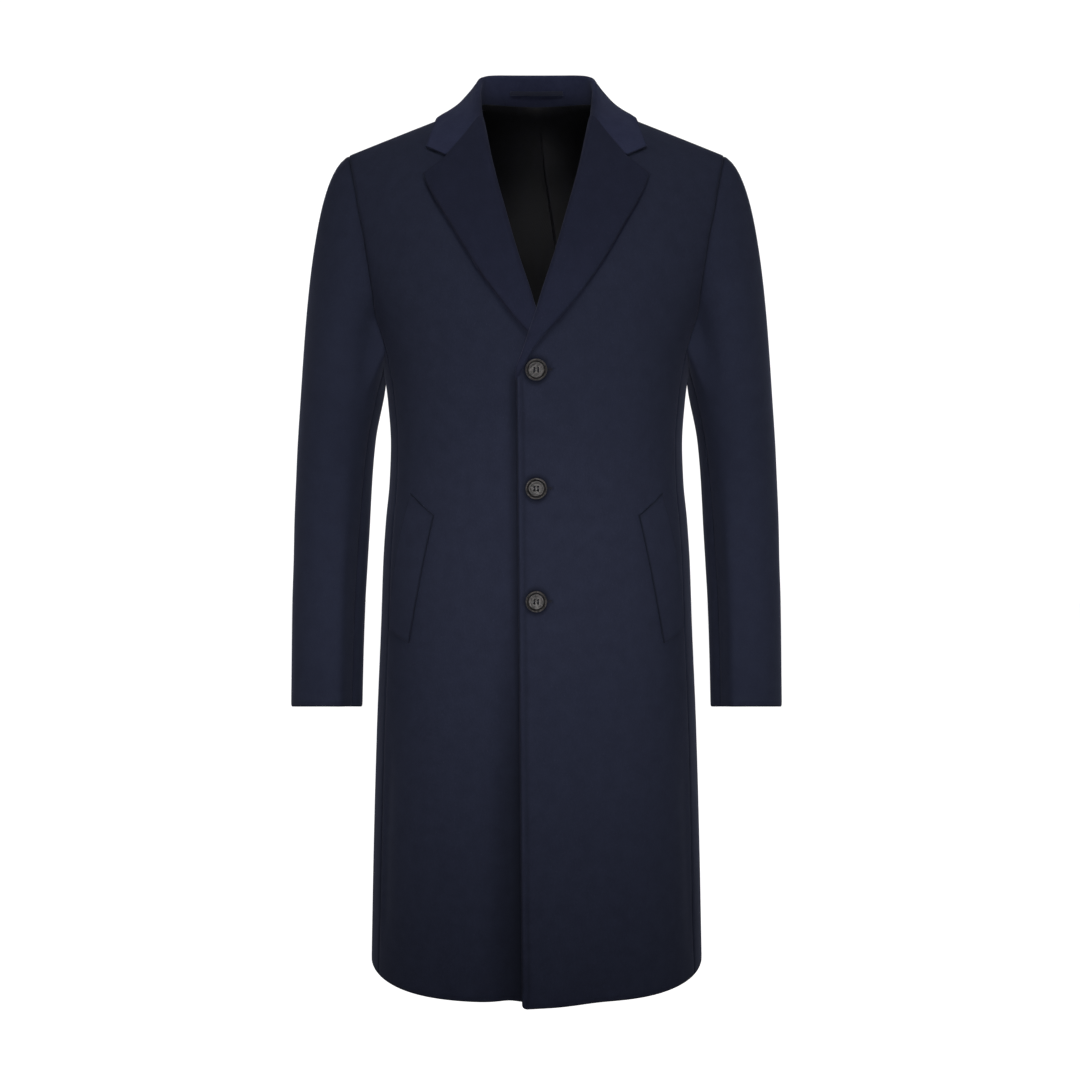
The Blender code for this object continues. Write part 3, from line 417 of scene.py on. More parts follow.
@dataclass(frozen=True)
class BodyForm:
    """The outer surface of the coat's body: rings up its height, rounded off to a ridge along the shoulders."""

    rings: tuple = (
        # height, half width, front depth, back depth, middle, front squareness
        (-1.040, 0.2060, 0.1520, 0.1500, 0.000, 3.4),
        (-0.880, 0.2012, 0.1480, 0.1480, 0.000, 3.3),
        (-0.730, 0.1955, 0.1440, 0.1460, 0.000, 3.1),
        (-0.600, 0.1888, 0.1410, 0.1430, 0.000, 2.9),
        (-0.530, 0.1857, 0.1390, 0.1400, 0.000, 2.8),
        (-0.480, 0.1820, 0.1380, 0.1370, 0.000, 2.7),
        (-0.430, 0.1768, 0.1380, 0.1340, 0.000, 2.6),
        (-0.385, 0.1750, 0.1400, 0.1330, 0.001, 2.6),
        (-0.335, 0.1780, 0.1440, 0.1370, 0.002, 2.6),
        (-0.295, 0.1835, 0.1470, 0.1430, 0.003, 2.6),
        (-0.255, 0.1940, 0.1485, 0.1480, 0.004, 2.6),
        (-0.200, 0.2150, 0.1490, 0.1510, 0.005, 2.6),
        (-0.150, 0.2310, 0.1490, 0.1520, 0.006, 2.6),
        (-0.100, 0.2440, 0.1480, 0.1510, 0.007, 2.6),
        (0.000, 0.2560, 0.1470, 0.1490, 0.008, 2.6),
        (0.080, 0.2620, 0.1460, 0.1480, 0.008, 2.6),
    )
    front_roundness: float = 1.75
    back_power: float = 2.2
    ring_power: float = 2.2
    neck_x: float = 0.0750
    neck_z: float = 0.0108
    tip_x: float = 0.2215
    slope: float = 0.389
    ridge_front: float = 0.260
    ridge_back: float = 0.170
    ridge_power: float = 0.62
    nape_rise: float = 0.018
    nape_reach: float = 0.090
    nape_z: float = 0.0120
    roll_line: tuple = (
        # height, x of the lapel's fold
        (-0.2900, -0.0225),
        (-0.2560, -0.0058),
        (-0.2305, 0.0047),
        (-0.2029, 0.0135),
        (-0.1664, 0.0256),
        (-0.1252, 0.0375),
        (-0.0618, 0.0545),
        (-0.0097, 0.0650),
    )
    lift_crossing: float = 0.0078
    lift_skirt: float = 0.0048
    lift_full_x: float = 0.022
    lift_none_x: float = 0.080

    def ring(self, z: Array) -> Array:
        """Half width, front depth, back depth, middle and front squareness at a height, along the last axis."""
        table = np.array(self.rings)
        return smooth(table[:, 0], table[:, 1:], z)

    def ridge(self, x: Array, front: Array | bool = True) -> Array:
        """Height of the shoulder ridge: a slope on each side, and a rise to the nape on the back.

        Args:
            x: Places across.
            front: Whether each is on the front.
        Returns:
            The heights.
        """
        across = np.sqrt(x * x + 0.02**2)
        line = self.neck_z + self.slope * (math.hypot(self.neck_x, 0.02) - across)
        rise = np.clip(1 - (x / self.nape_reach) ** 2, 0, 1) ** 2
        base = (1 - (self.neck_x / self.nape_reach) ** 2) ** 2
        return np.where(front, line, line + self.nape_rise * np.maximum(rise - base, 0))

    def depth(self, x: Array, z: Array, front: Array | bool) -> Array:
        """Distance from the middle plane: a superellipse across, times a power of how far the ridge is above.

        Args:
            x: Places across.
            z: Their heights.
            front: Whether each is on the front.
        Returns:
            The distances.
        """
        half, deep_front, deep_back, _, square = np.moveaxis(self.ring(z), -1, 0)
        across = np.clip(np.abs(x) / half, 0, 1)
        round_front = (1 - across**square) ** (1 / self.front_roundness)
        round_back = (1 - across**self.back_power) ** (1 / self.back_power)
        reach = np.where(front, self.ridge_front, self.ridge_back)
        below = np.clip((self.ridge(x, front) - z) / reach, 0, 1)
        rise = (1 - (1 - below) ** 2) ** self.ridge_power
        return np.where(front, deep_front * round_front, deep_back * round_back) * rise

    def point(self, x: Array, z: Array, front: Array | bool) -> Array:
        """Point of the outer surface: the ring's own middle, and the depth before or behind it.

        Args:
            x: Places across.
            z: Their heights.
            front: Whether each is on the front.
        Returns:
            The points.
        """
        x, z, front = np.broadcast_arrays(np.asarray(x, float), np.asarray(z, float), front)
        y = self.ring(z)[..., 3] + np.where(front, -1, 1) * self.depth(x, z, front)
        return np.stack([x, y, z], axis=-1)

    def around(self, angle: Array, z: Array) -> Array:
        """Point at degrees round the ring: 0 the centre front, 90 the side, 180 the centre back."""
        front = angle < 90
        return self.point(self.ring_x(np.where(front, angle, 180 - angle), z), z, front)

    def normal(self, x: Array, z: Array, front: Array | bool) -> Array:
        """Outward normal, by differences; square to the shoulder seam on the ridge, and even round the side.

        Args:
            x: Places across.
            z: Their heights.
            front: Whether each is on the front.
        Returns:
            The unit normals.
        """
        x, z, front = np.broadcast_arrays(np.asarray(x, float), np.asarray(z, float), front)
        h = 1e-4
        half = self.ring(z)[..., 0]
        xs = np.clip(x, -half + 3 * h, half - 3 * h)
        zs = np.minimum(z, self.ridge(xs, front) - 4 * h)
        gx = (self.depth(xs + h, zs, front) - self.depth(xs - h, zs, front)) / (2 * h)
        gz = (self.depth(xs, zs + h, front) - self.depth(xs, zs - h, front)) / (2 * h)
        lean = (self.ring(zs + h)[..., 3] - self.ring(zs - h)[..., 3]) / (2 * h)
        side = np.where(front, -1.0, 1.0)
        normal = np.stack([-gx, side, -gz - side * lean], axis=-1)
        top = np.stack([self.slope * np.sign(x), np.zeros_like(x), np.ones_like(x)], axis=-1)
        on_ridge = z > self.ridge(x, front) - 1e-5
        turn = np.where(front, np.abs(self.angle(x, z)), 180 - np.abs(self.angle(x, z)))
        along = self.around(turn + 2.0, z) - self.around(turn - 2.0, z)
        up = self.around(turn, z + 1e-3) - self.around(turn, z - 1e-3)
        side = unit(np.cross(along, up)) * np.stack([np.sign(x), np.ones_like(x), np.ones_like(x)], axis=-1)
        beside = ease((24 - np.abs(turn - 90)) / 14)[..., None]
        return unit(np.where(on_ridge[..., None], top, unit(normal) * (1 - beside) + side * beside))

    def ring_x(self, angle: Array, z: Array) -> Array:
        """x at an angle round the ring, in degrees from the centre front, negative to the wearer's right."""
        share = np.sin(np.radians(np.abs(angle))) ** (2 / self.ring_power)
        return np.sign(angle) * self.ring(z)[..., 0] * share

    def angle(self, x: Array, z: Array) -> Array:
        """The angle round the front of the ring that has this x."""
        share = np.clip(np.abs(x) / self.ring(z)[..., 0], 0, 1)
        return np.sign(x) * np.degrees(np.arcsin(share ** (self.ring_power / 2)))

    def roll_x(self, z: Array) -> Array:
        """x of the lapel's fold at a height."""
        table = np.array(self.roll_line)
        return smooth(table[:, 0], table[:, 1], z)

    def lift(self, x: Array, z: Array) -> Array:
        """How far the outer front stands off its own surface: most at the crossing, less on the skirt.

        Args:
            x: Places across.
            z: Their heights.
        Returns:
            The distances outwards.
        """
        amount = self.lift_skirt + (self.lift_crossing - self.lift_skirt) * ease((z + 0.40) / 0.07)
        near = ease((self.lift_none_x - x) / (self.lift_none_x - self.lift_full_x))
        return amount * near * ease((-0.15 - z) / 0.07)

    def raised(self, x: Array, z: Array, height: Array | float, over: bool) -> tuple[Array, Array]:
        """Point at a height over the left front's surface.

        Args:
            x: Places across.
            z: Heights of the places.
            height: How far out along the normal.
            over: Whether this is the outer front, with its lift.
        Returns:
            The points, and the normals there.
        """
        normal = self.normal(x, z, True)
        stand = height + (self.lift(x, z) if over else 0.0)
        return self.point(x, z, True) + normal * np.asarray(stand)[..., None], normal


@dataclass(frozen=True)
class Armhole:
    """The seam of body and sleeve: stations from the shoulder tip forwards, under the arm, and up the back."""

    body: BodyForm
    side_angle: float = 68.0
    front: tuple = (
        # x, height; no height is the ridge
        (0.2215, None),
        (0.2150, -0.0720),
        (0.2095, -0.0980),
        (0.2030, -0.1290),
        (0.1965, -0.1660),
        (0.1908, -0.2050),
        (0.1862, -0.2400),
    )
    under: tuple = (
        # degrees round the ring, height
        (68.0, -0.2680),
        (79.0, -0.2840),
        (90.0, -0.2900),
        (101.0, -0.2840),
        (110.0, -0.2640),
    )
    back: tuple = (
        # x, height
        (0.1885, -0.2350),
        (0.1955, -0.2020),
        (0.2020, -0.1680),
        (0.2065, -0.1340),
        (0.2108, -0.1010),
        (0.2155, -0.0740),
        (0.2215, None),
    )

    @property
    def count(self) -> int:
        """Stations all round, the shoulder tip once."""
        return len(self.front) + len(self.under) + len(self.back) - 1

    def at(self, station: Array) -> tuple[Array, Array]:
        """Smooth place on the seam at any station number, whole or between.

        Args:
            station: Station numbers from 0, the tip, to count, the tip again.
        Returns:
            Degrees round the ring from the centre front, past 90 on the back, and heights.
        """
        tip = float(self.body.ridge(np.array(self.body.tip_x)))
        front, back = ([(x, tip if z is None else z) for x, z in rows] for rows in (self.front, self.back))
        front, back, under = np.array(front), np.array(back), np.array(self.under)
        ahead, behind = self.body.angle(*front.T), 180 - self.body.angle(*back.T)
        angle = np.concatenate([ahead, under[:, 0], behind])
        z = np.concatenate([front[:, 1], under[:, 1], back[:, 1]])
        number = np.arange(len(z))
        return smooth(number, angle, station), smooth(number, z, station)

    def point(self, station: Array) -> tuple[Array, Array, Array]:
        """x, height, and whether on the front, at station numbers."""
        angle, z = self.at(station)
        return self.body.ring_x(np.where(angle < 90, angle, 180 - angle), z), z, angle < 90


@dataclass(frozen=True)
class SleeveForm:
    """The outer surface of the left sleeve: rings down the arm, joined to the armhole by cubics."""

    armhole: Armhole
    wall: Wall
    rings: tuple = (
        # height, centre x, centre y, half across, half deep, forward tilt in degrees
        (-0.3340, 0.23275, 0.0000, 0.04925, 0.0760, 0.0),
        (-0.3820, 0.2400, 0.0035, 0.0464, 0.0715, 1.0),
        (-0.4300, 0.2442, 0.0060, 0.0456, 0.0670, 3.0),
        (-0.4790, 0.2470, 0.0040, 0.0454, 0.0640, 6.0),
        (-0.5280, 0.2490, -0.0020, 0.0445, 0.0615, 9.0),
        (-0.5770, 0.2508, -0.0120, 0.0438, 0.0590, 11.0),
        (-0.6230, 0.2515, -0.0225, 0.0432, 0.0565, 12.0),
        (-0.6640, 0.2518, -0.0320, 0.0428, 0.0545, 12.6),
        (-0.7000, 0.2520, -0.0400, 0.0426, 0.0530, 12.6),
    )
    cap_rows: int = 40
    swell_top: float = 0.130
    swell_side: float = 0.050
    swell_under: float = 0.012

    def start(self, station: Array) -> Array:
        """The seam's points at station numbers, halfway through the body's cloth."""
        place, body = self.armhole.point(station), self.armhole.body
        return body.point(*place) - body.normal(*place) * self.wall.thickness / 2

    def angles(self, station: Array) -> Array:
        """The angle round the arm that each station runs down to, from its place in the armhole.

        Args:
            station: Station numbers of the armhole.
        Returns:
            Degrees: 0 outside, 90 in front, 180 next to the body.
        """
        whole = self.start(np.arange(self.armhole.count))
        middle, low, high = whole.mean(axis=0), whole.min(axis=0), whole.max(axis=0)
        points = self.start(station)
        forward = (middle[1] - points[:, 1]) / (high[1] - low[1])
        up = (points[:, 2] - middle[2]) / (high[2] - low[2])
        angles = np.degrees(np.arctan2(forward, up))
        angles = np.where(angles < -1e-6, angles + 360, angles)
        return np.where(station >= self.armhole.count - 1e-9, 360.0, np.where(station <= 1e-9, 0.0, angles))

    def ring(self, drop: Array, angles: Array) -> Array:
        """Rings at distances down: ellipses, tilted so that their front is lower, drawn in by half a wall.

        Args:
            drop: Distances under the origin.
            angles: Degrees round the arm.
        Returns:
            One ring of points for each distance.
        """
        table = np.array(self.rings)
        row = smooth(-table[:, 0], table[:, 1:], np.asarray(drop, float))[..., None]
        cx, cy, across, deep, tilt = np.moveaxis(row, -2, 0)
        turn, inset = np.radians(angles), self.wall.thickness / 2
        x, y = cx + (across - inset) * np.cos(turn), cy - (deep - inset) * np.sin(turn)
        return np.stack([x, y, -np.asarray(drop)[..., None] - (y - cy) * np.tan(np.radians(tilt))], axis=-1)

    def grid(self, station: Array) -> Array:
        """Middle of the cloth: cubics from the armhole to the first ring, and then the rings down to the cuff.

        Args:
            station: Station numbers of the armhole, one for each column.
        Returns:
            The points.
        """
        station = np.asarray(station, float)
        wrapped = np.where(station > self.armhole.count + 1e-9, station - self.armhole.count, station)
        start, angles = self.start(wrapped), self.angles(wrapped)
        top_drop, foot_drop = -self.rings[0][0], -self.rings[-1][0]
        first, second = self.ring(top_drop, angles), self.ring(top_drop + 0.012, angles)
        drop = (start[:, 2] - first[:, 2])[:, None]
        down = (second - first) / 0.012 * drop
        turn = np.radians(angles)
        top, under = np.clip(np.cos(turn), 0, 1) ** 2, np.clip(-np.cos(turn), 0, 1) ** 2
        sides = 1 - top - under
        swell = self.swell_top * top + self.swell_side * sides + self.swell_under * under
        way = [1 - 1.85 * under, -0.35 * np.sin(turn) * sides, -0.45 * top - 0.75 * sides - 1.5 * under]
        leave = np.stack(way, axis=-1) * swell[:, None]
        t = (np.arange(self.cap_rows) / self.cap_rows)[:, None, None]
        cap = cubic(t, start, leave, first, down)
        return np.concatenate([cap, self.ring(np.arange(top_drop, foot_drop + 1e-6, 0.006), angles)])


# ---- finishes


def linear(colour: str) -> tuple[float, float, float, float]:
    """An sRGB hex colour as linear red, green and blue, with alpha 1."""
    channels = (int(colour[k : k + 2], 16) / 255 for k in (0, 2, 4))
    return (*(c / 12.92 if c <= 0.04045 else ((c + 0.055) / 1.055) ** 2.4 for c in channels), 1.0)


def per_metre(millimetres: float) -> float:
    """The scale of a noise or wave whose features are this wide."""
    return 1000.0 / millimetres


def add_node(tree: Tree, kind: str, feeds: dict, **settings: object) -> bpy.types.Node:
    """Adds a node.

    Args:
        tree: The tree it goes into.
        kind: Blender's name for the node.
        feeds: A value or another node's output for each input, by its name or number.
        settings: The node's own options.
    Returns:
        The node.
    """
    node = tree.nodes.new(kind)
    for name, value in settings.items():
        setattr(node, name, value)
    for name, value in feeds.items():
        if isinstance(value, Socket):
            tree.links.new(value, node.inputs[name])
        else:
            node.inputs[name].default_value = value
    return node


def blank(name: str, **sockets: object) -> tuple[Material, Tree, bpy.types.Node]:
    """Starts a material.

    Args:
        name: The real material's name.
        sockets: Uniform values of the shader, spelt with _ for each space.
    Returns:
        The material, its tree and its Principled shader.
    """
    material = bpy.data.materials.new(name)
    material.use_nodes = True
    shader = material.node_tree.nodes["Principled BSDF"]
    for socket, value in sockets.items():
        shader.inputs[socket.replace("_", " ")].default_value = value
    return material, material.node_tree, shader


def attribute(tree: Tree, name: str, output: str = "Fac") -> Socket:
    """The value that a piece keeps under this name at each vertex."""
    return add_node(tree, "ShaderNodeAttribute", {}, attribute_name=name).outputs[output]


def noise(tree: Tree, place: Socket, millimetres: float, **more: float) -> Socket:
    """Cloudy noise whose features are this wide."""
    feeds = {"Vector": place, "Scale": per_metre(millimetres), **more}
    return add_node(tree, "ShaderNodeTexNoise", feeds).outputs["Fac"]


def ranged(tree: Tree, value: Socket, **ends: float) -> Socket:
    """A value carried from one range to another, whose ends are spelt From_Min, From_Max, To_Min and To_Max."""
    feeds = {name.replace("_", " "): end for name, end in ends.items()}
    return add_node(tree, "ShaderNodeMapRange", {"Value": value, **feeds}).outputs["Result"]


def mix(tree: Tree, share: Socket, under: object, over: str) -> Socket:
    """A colour, covered by a share of another one, given in sRGB hex."""
    return add_node(tree, "ShaderNodeMix", {0: share, 6: under, 7: linear(over)}, data_type="RGBA").outputs[2]


def cords(tree: Tree, along: Socket, millimetres: float) -> Socket:
    """Even rounded stripes of this width across a value in metres, from 0 to 1.

    Args:
        tree: The material's tree.
        along: The value.
        millimetres: The width of a stripe.
    Returns:
        The stripes.
    """
    feeds = {0: along, 1: per_metre(millimetres) * WHOLE_TURN}
    turns = add_node(tree, "ShaderNodeMath", feeds, operation="MULTIPLY").outputs[0]
    wave = add_node(tree, "ShaderNodeMath", {0: turns}, operation="SINE").outputs[0]
    return ranged(tree, wave, From_Min=-1.0)


def emboss(tree: Tree, shader: bpy.types.Node, height: Socket, **settings: float) -> None:
    """Raises the shader's surface by a height; the settings are Distance and Strength."""
    normal = add_node(tree, "ShaderNodeBump", {"Height": height, **settings}).outputs["Normal"]
    tree.links.new(normal, shader.inputs["Normal"])


@dataclass(frozen=True)
class MeltonFinish:
    """Milled melton: wool felted until the weave is gone, so its surface is matt, slightly cloudy and hairy."""

    name: str = "navy_melton"
    ground: str = "222535"
    hair: str = "272B3C"
    fleck: str = "34384B"
    nap_mm: float = 1.7  # real hairs are 0.02 mm: their tufts, drawn coarse enough to show
    cloud_mm: float = 16.0
    fleck_mm: float = 1.1
    roughness: float = 0.94
    sheen: float = 0.13
    bump: float = 0.00022
    # painted shade: the dark colour that seams, edges, the lap and the cloth round the buttons are mixed
    # towards
    pressed: str = "0B0D15"
    painted_shade_share: float = 0.62

    def build(self) -> Material:
        """Tufts lie down the cloth, clouds vary their colour, and rare pale hairs lie across them.

        Returns:
            The material.
        """
        material, tree, shader = blank(
            self.name,
            Sheen_Weight=self.sheen,
            Sheen_Roughness=0.38,
            Sheen_Tint=linear("AEB4D6"),
            Specular_IOR_Level=0.12,
        )
        place = add_node(tree, "ShaderNodeTexCoord", {}).outputs["Object"]
        brushed = add_node(tree, "ShaderNodeMapping", {"Vector": place, "Scale": (1.0, 1.0, 0.5)}).outputs[0]
        nap = noise(tree, brushed, self.nap_mm, Detail=3.0, Roughness=0.65)
        cloud = noise(tree, place, self.cloud_mm, Detail=4.0, Roughness=0.6)
        mixed = add_node(tree, "ShaderNodeMath", {0: nap, 1: cloud}, operation="ADD").outputs[0]
        colour = mix(tree, ranged(tree, mixed, From_Min=0.72, From_Max=1.28), linear(self.ground), self.hair)
        hairs = noise(tree, brushed, self.fleck_mm, Detail=1.0)
        flecked = mix(tree, ranged(tree, hairs, From_Min=0.66, From_Max=0.80, To_Max=0.5), colour, self.fleck)
        # painted shade: the colour is mixed towards the dark one by the amount of painted shade that each piece
        # stores
        flat = {0: attribute(tree, "pressed"), 1: self.painted_shade_share}
        share = add_node(tree, "ShaderNodeMath", flat, operation="MULTIPLY").outputs[0]
        tree.links.new(mix(tree, share, flecked, self.pressed), shader.inputs["Base Color"])
        rough = ranged(tree, nap, To_Min=self.roughness - 0.06, To_Max=self.roughness + 0.05)
        tree.links.new(rough, shader.inputs["Roughness"])
        emboss(tree, shader, mixed, Distance=self.bump, Strength=0.8)
        return material


@dataclass(frozen=True)
class LiningFinish:
    """Viscose satin twill lining: smooth yarns on a steep twill line, so folds carry a soft streak of light."""

    name: str = "black_lining"
    ground: str = "0A0A0D"
    yarn: str = "101015"
    twill_mm: float = 1.4  # a real twill line is 0.3 mm; drawn coarser
    twill_angle: float = 27.0
    streak_mm: float = 6.0
    roughness: float = 0.60

    def build(self) -> Material:
        """Steep stripes for the twill, and long faint streaks of uneven yarn.

        Returns:
            The material.
        """
        sockets = {"Specular_IOR_Level": 0.22, "Sheen_Weight": 0.05, "Sheen_Roughness": 0.4}
        material, tree, shader = blank(self.name, **sockets)
        place = add_node(tree, "ShaderNodeTexCoord", {}).outputs["Object"]
        leaning = {"Vector": place, "Rotation": (0.0, math.radians(self.twill_angle), 0.0)}
        steep = add_node(tree, "ShaderNodeMapping", leaning).outputs[0]
        twill = add_node(
            tree,
            "ShaderNodeTexWave",
            {"Vector": steep, "Scale": per_metre(self.twill_mm) / WHOLE_TURN, "Distortion": 0.6, "Detail": 1.0},
            wave_type="BANDS",
            bands_direction="X",
        ).outputs["Fac"]
        long = add_node(tree, "ShaderNodeMapping", {"Vector": place, "Scale": (1.0, 1.0, 0.06)}).outputs[0]
        streak = noise(tree, long, self.streak_mm, Detail=3.0)
        colour = mix(tree, ranged(tree, streak, From_Min=0.35, From_Max=0.65), linear(self.ground), self.yarn)
        tree.links.new(colour, shader.inputs["Base Color"])
        rough = ranged(tree, streak, To_Min=self.roughness - 0.08, To_Max=self.roughness + 0.10)
        tree.links.new(rough, shader.inputs["Roughness"])
        emboss(tree, shader, twill, Distance=0.00006)
        return material


@dataclass(frozen=True)
class TapeFinish:
    """Narrow wool tape of the hanger loop: fine cords along it, matt."""

    name: str = "navy_tape"
    ground: str = "191C2A"
    cord: str = "24273A"
    cord_mm: float = 1.3

    def build(self) -> Material:
        """Cords run along the tape, from the piece's own way across it.

        Returns:
            The material.
        """
        material, tree, shader = blank(self.name, Sheen_Weight=0.15, Specular_IOR_Level=0.25, Roughness=0.85)
        shade = cords(tree, attribute(tree, "across"), self.cord_mm)
        tree.links.new(mix(tree, shade, linear(self.ground), self.cord), shader.inputs["Base Color"])
        emboss(tree, shader, shade, Distance=0.00015)
        return material


@dataclass(frozen=True)
class HornFinish:
    """Turned and polished buffalo horn: grey-brown, streaked along its growth, with a satin gloss."""

    name: str = "grey_brown_horn"
    dark: str = "161414"
    ground: str = "343131"
    pale: str = "5A5656"
    hole_shade: str = "0D0D10"
    streak_mm: float = 2.6
    roughness: float = 0.46

    def build(self) -> Material:
        """Streaks of three tones, drawn out along one way across the button, with painted shade, dark, in the
        thread holes and the ring groove.

        Returns:
            The material.
        """
        material, tree, shader = blank(self.name, IOR=1.55)
        spot = attribute(tree, "spot", "Vector")
        drawn = add_node(tree, "ShaderNodeMapping", {"Vector": spot, "Scale": (1.0, 0.28, 1.0)}).outputs[0]
        streak = noise(tree, drawn, self.streak_mm, Detail=5.0, Roughness=0.62, Distortion=0.8)
        ramp = add_node(tree, "ShaderNodeValToRGB", {"Fac": streak})
        ramp.color_ramp.elements[0].position = 0.36
        ramp.color_ramp.elements[0].color = linear(self.dark)
        ramp.color_ramp.elements[1].position = 0.66
        ramp.color_ramp.elements[1].color = linear(self.pale)
        ramp.color_ramp.elements.new(0.5).color = linear(self.ground)
        # painted shade: the well value darkens the thread holes and the ring groove and takes away their gloss
        well = attribute(tree, "well")
        tree.links.new(mix(tree, well, ramp.outputs["Color"], self.hole_shade), shader.inputs["Base Color"])
        tree.links.new(ranged(tree, well, To_Min=0.38, To_Max=0.02), shader.inputs["Specular IOR Level"])
        rough = ranged(tree, streak, To_Min=self.roughness - 0.07, To_Max=self.roughness + 0.12)
        tree.links.new(rough, shader.inputs["Roughness"])
        return material


@dataclass(frozen=True)
class ThreadFinish:
    """Twisted silk buttonhole thread: two plies that wind round each other, with a faint gloss."""

    name: str = "navy_thread"
    ground: str = "0C0D13"
    ply: str = "1B1D2A"
    ply_mm: float = 0.9

    def build(self) -> Material:
        """Plies across the thread, from the piece's own way along it.

        Returns:
            The material.
        """
        material, tree, shader = blank(self.name, Roughness=0.7, Specular_IOR_Level=0.2)
        shade = cords(tree, attribute(tree, "run"), self.ply_mm)
        tree.links.new(mix(tree, shade, linear(self.ground), self.ply), shader.inputs["Base Color"])
        return material


@dataclass(frozen=True)
class PaperFinish:
    """Seamless white studio paper: flat and even."""

    name: str = "white_paper"
    colour: str = "FFFFFF"
    glow: float = 0.9
    grain_mm: float = 3.0

    def build(self) -> Material:
        """White all over, with a little light of its own so that it shows no shadow edge.

        Returns:
            The material.
        """
        material, tree, shader = blank(
            self.name,
            Base_Color=linear(self.colour),
            Roughness=1.0,
            Emission_Color=linear(self.colour),
            Emission_Strength=self.glow,
        )
        grain = add_node(tree, "ShaderNodeTexNoise", {"Scale": per_metre(self.grain_mm)}).outputs["Fac"]
        emboss(tree, shader, grain, Distance=0.00005)
        return material


@dataclass(frozen=True)
class Finishes:
    """The coat's materials, each built once."""

    melton: Material = field(default_factory=MeltonFinish().build)
    # the lapel's copy of the melton is darker, painted shade; the collar's is lighter, painted light where it
    # faces up
    lapel: Material = field(default_factory=MeltonFinish("navy_melton_lapel", "1F2233", "24273A").build)
    collar: Material = field(default_factory=MeltonFinish("navy_melton_collar_painted_light", "282B41", "2F334A").build)
    lining: Material = field(default_factory=LiningFinish().build)
    tape: Material = field(default_factory=TapeFinish().build)
    horn: Material = field(default_factory=HornFinish().build)
    thread: Material = field(default_factory=ThreadFinish().build)


# ---- creases


@dataclass(frozen=True)
class Crease:
    """A soft trough or ridge along a line on the cloth, between two places given as (degrees round, height)."""

    start: tuple[float, float]
    end: tuple[float, float]
    width: float
    height: float
    bow: float = 0.0
    skew: float = 1.0
    fade: tuple[float, float] = (0.35, 0.35)

    def relief(self, angle: Array, z: Array, scale: float) -> Array:
        """A bell across the line, times an S at each end; one flank may be wider than the other.

        Args:
            angle: Degrees round the form.
            z: Heights.
            scale: Metres in a degree.
        Returns:
            How far the cloth moves outwards.
        """
        run_a, run_z = (self.end[0] - self.start[0]) * scale, self.end[1] - self.start[1]
        length = math.hypot(run_a, run_z)
        off_a, off_z = (angle - self.start[0]) * scale, z - self.start[1]
        along = (off_a * run_a + off_z * run_z) / length**2
        aside = (off_a * run_z - off_z * run_a) / length - self.bow * np.sin(np.pi * np.clip(along, 0, 1))
        width = self.width * np.where(aside > 0, self.skew, 1.0)
        return self.height * bell(aside, width) * ease(along / self.fade[0]) * ease((1 - along) / self.fade[1])


@dataclass(frozen=True)
class Drape:
    """All the creases of one half of the coat's body or of one sleeve."""

    scale: float
    creases: tuple = ()

    def relief(self, angle: Array, z: Array) -> Array:
        """The sum of the creases at each place."""
        total = np.zeros(np.broadcast(angle, z).shape)
        return sum((crease.relief(angle, z, self.scale) for crease in self.creases), total)


def tube(name: str, rings: Array, materials: list, closed: bool = False) -> Piece:
    """A closed surface through rings of points; both ends are capped by a fan unless the tube meets itself.

    Args:
        name: The piece's name.
        rings: Points, of shape (rings, points round, 3).
        materials: The piece's materials.
        closed: Whether the last ring joins the first.
    Returns:
        The new object. Its vertices are the rings' points, then one in the middle of each end.
    """
    count, around = rings.shape[:2]
    i, j = np.meshgrid(np.arange(count if closed else count - 1), np.arange(around), indexing="ij")
    after, beside = (i + 1) % count, (j + 1) % around
    corners = [i * around + j, i * around + beside, after * around + beside, after * around + j]
    faces = np.stack([corner.ravel() for corner in corners], axis=1)
    points = rings.reshape(-1, 3)
    fans = np.zeros((0, 3), int)
    if not closed:
        j, last = np.arange(around), (count - 1) * around
        middle = np.full_like(j, count * around)
        start = np.stack([(j + 1) % around, j, middle], axis=1)
        end = np.stack([last + j, last + (j + 1) % around, middle + 1], axis=1)
        fans = np.concatenate([start, end])
        points = np.concatenate([points, rings[[0, -1]].mean(axis=1)])
    corner = points[faces]
    if signed_volume(corner[:, :3]) + signed_volume(corner[:, [0, 2, 3]]) < 0:
        faces, fans = faces[:, ::-1], fans[:, ::-1]
    triangles = np.concatenate([faces[:, [0, 1, 2]], faces[:, [0, 2, 3]], fans])
    return put_mesh(name, points, triangles, materials)


# ---- pieces of the body


@dataclass(frozen=True)
class Tailor:
    """The forms that the pieces are cut on, how the coat drapes, and what it is made of."""

    body: BodyForm
    armhole: Armhole
    sleeve: SleeveForm
    wall: Wall
    finishes: Finishes
    drapes: dict[Side, Drape]
    hem_z: float = -1.0280
    spacing: float = 0.0048
    lining_margin: float = 0.030  # cloth turned up inside the hem and the cuffs

    def middle(self, x: Array, z: Array, front: Array | bool, side: Side, over: bool) -> tuple[Array, Array]:
        """Halfway through the body's cloth, with its creases.

        Args:
            x: Places across, on the left.
            z: Their heights.
            front: Whether each is on the front.
            side: The side that the creases are taken from.
            over: Whether this is the outer front.
        Returns:
            The points and the outward normals.
        """
        body = self.body
        normal = body.normal(x, z, front)
        angle = np.where(front, body.angle(x, z), 180 - body.angle(x, z))
        lift = body.lift(x, z) if over else 0.0
        stand = self.drapes[side].relief(angle, z) - self.wall.thickness / 2 + lift
        return body.point(x, z, front) + normal * stand[..., None], normal

    def sew_melton(self, side: Side, kind: str, middle: Array, normal: Array, **options: object) -> None:
        """Sews a piece of the coat's own cloth, lined inside; the options are those of sew."""
        cloth = [self.finishes.melton, self.finishes.lining]
        sew(side, kind, middle, normal, self.wall, cloth, "navy_melton", **options)


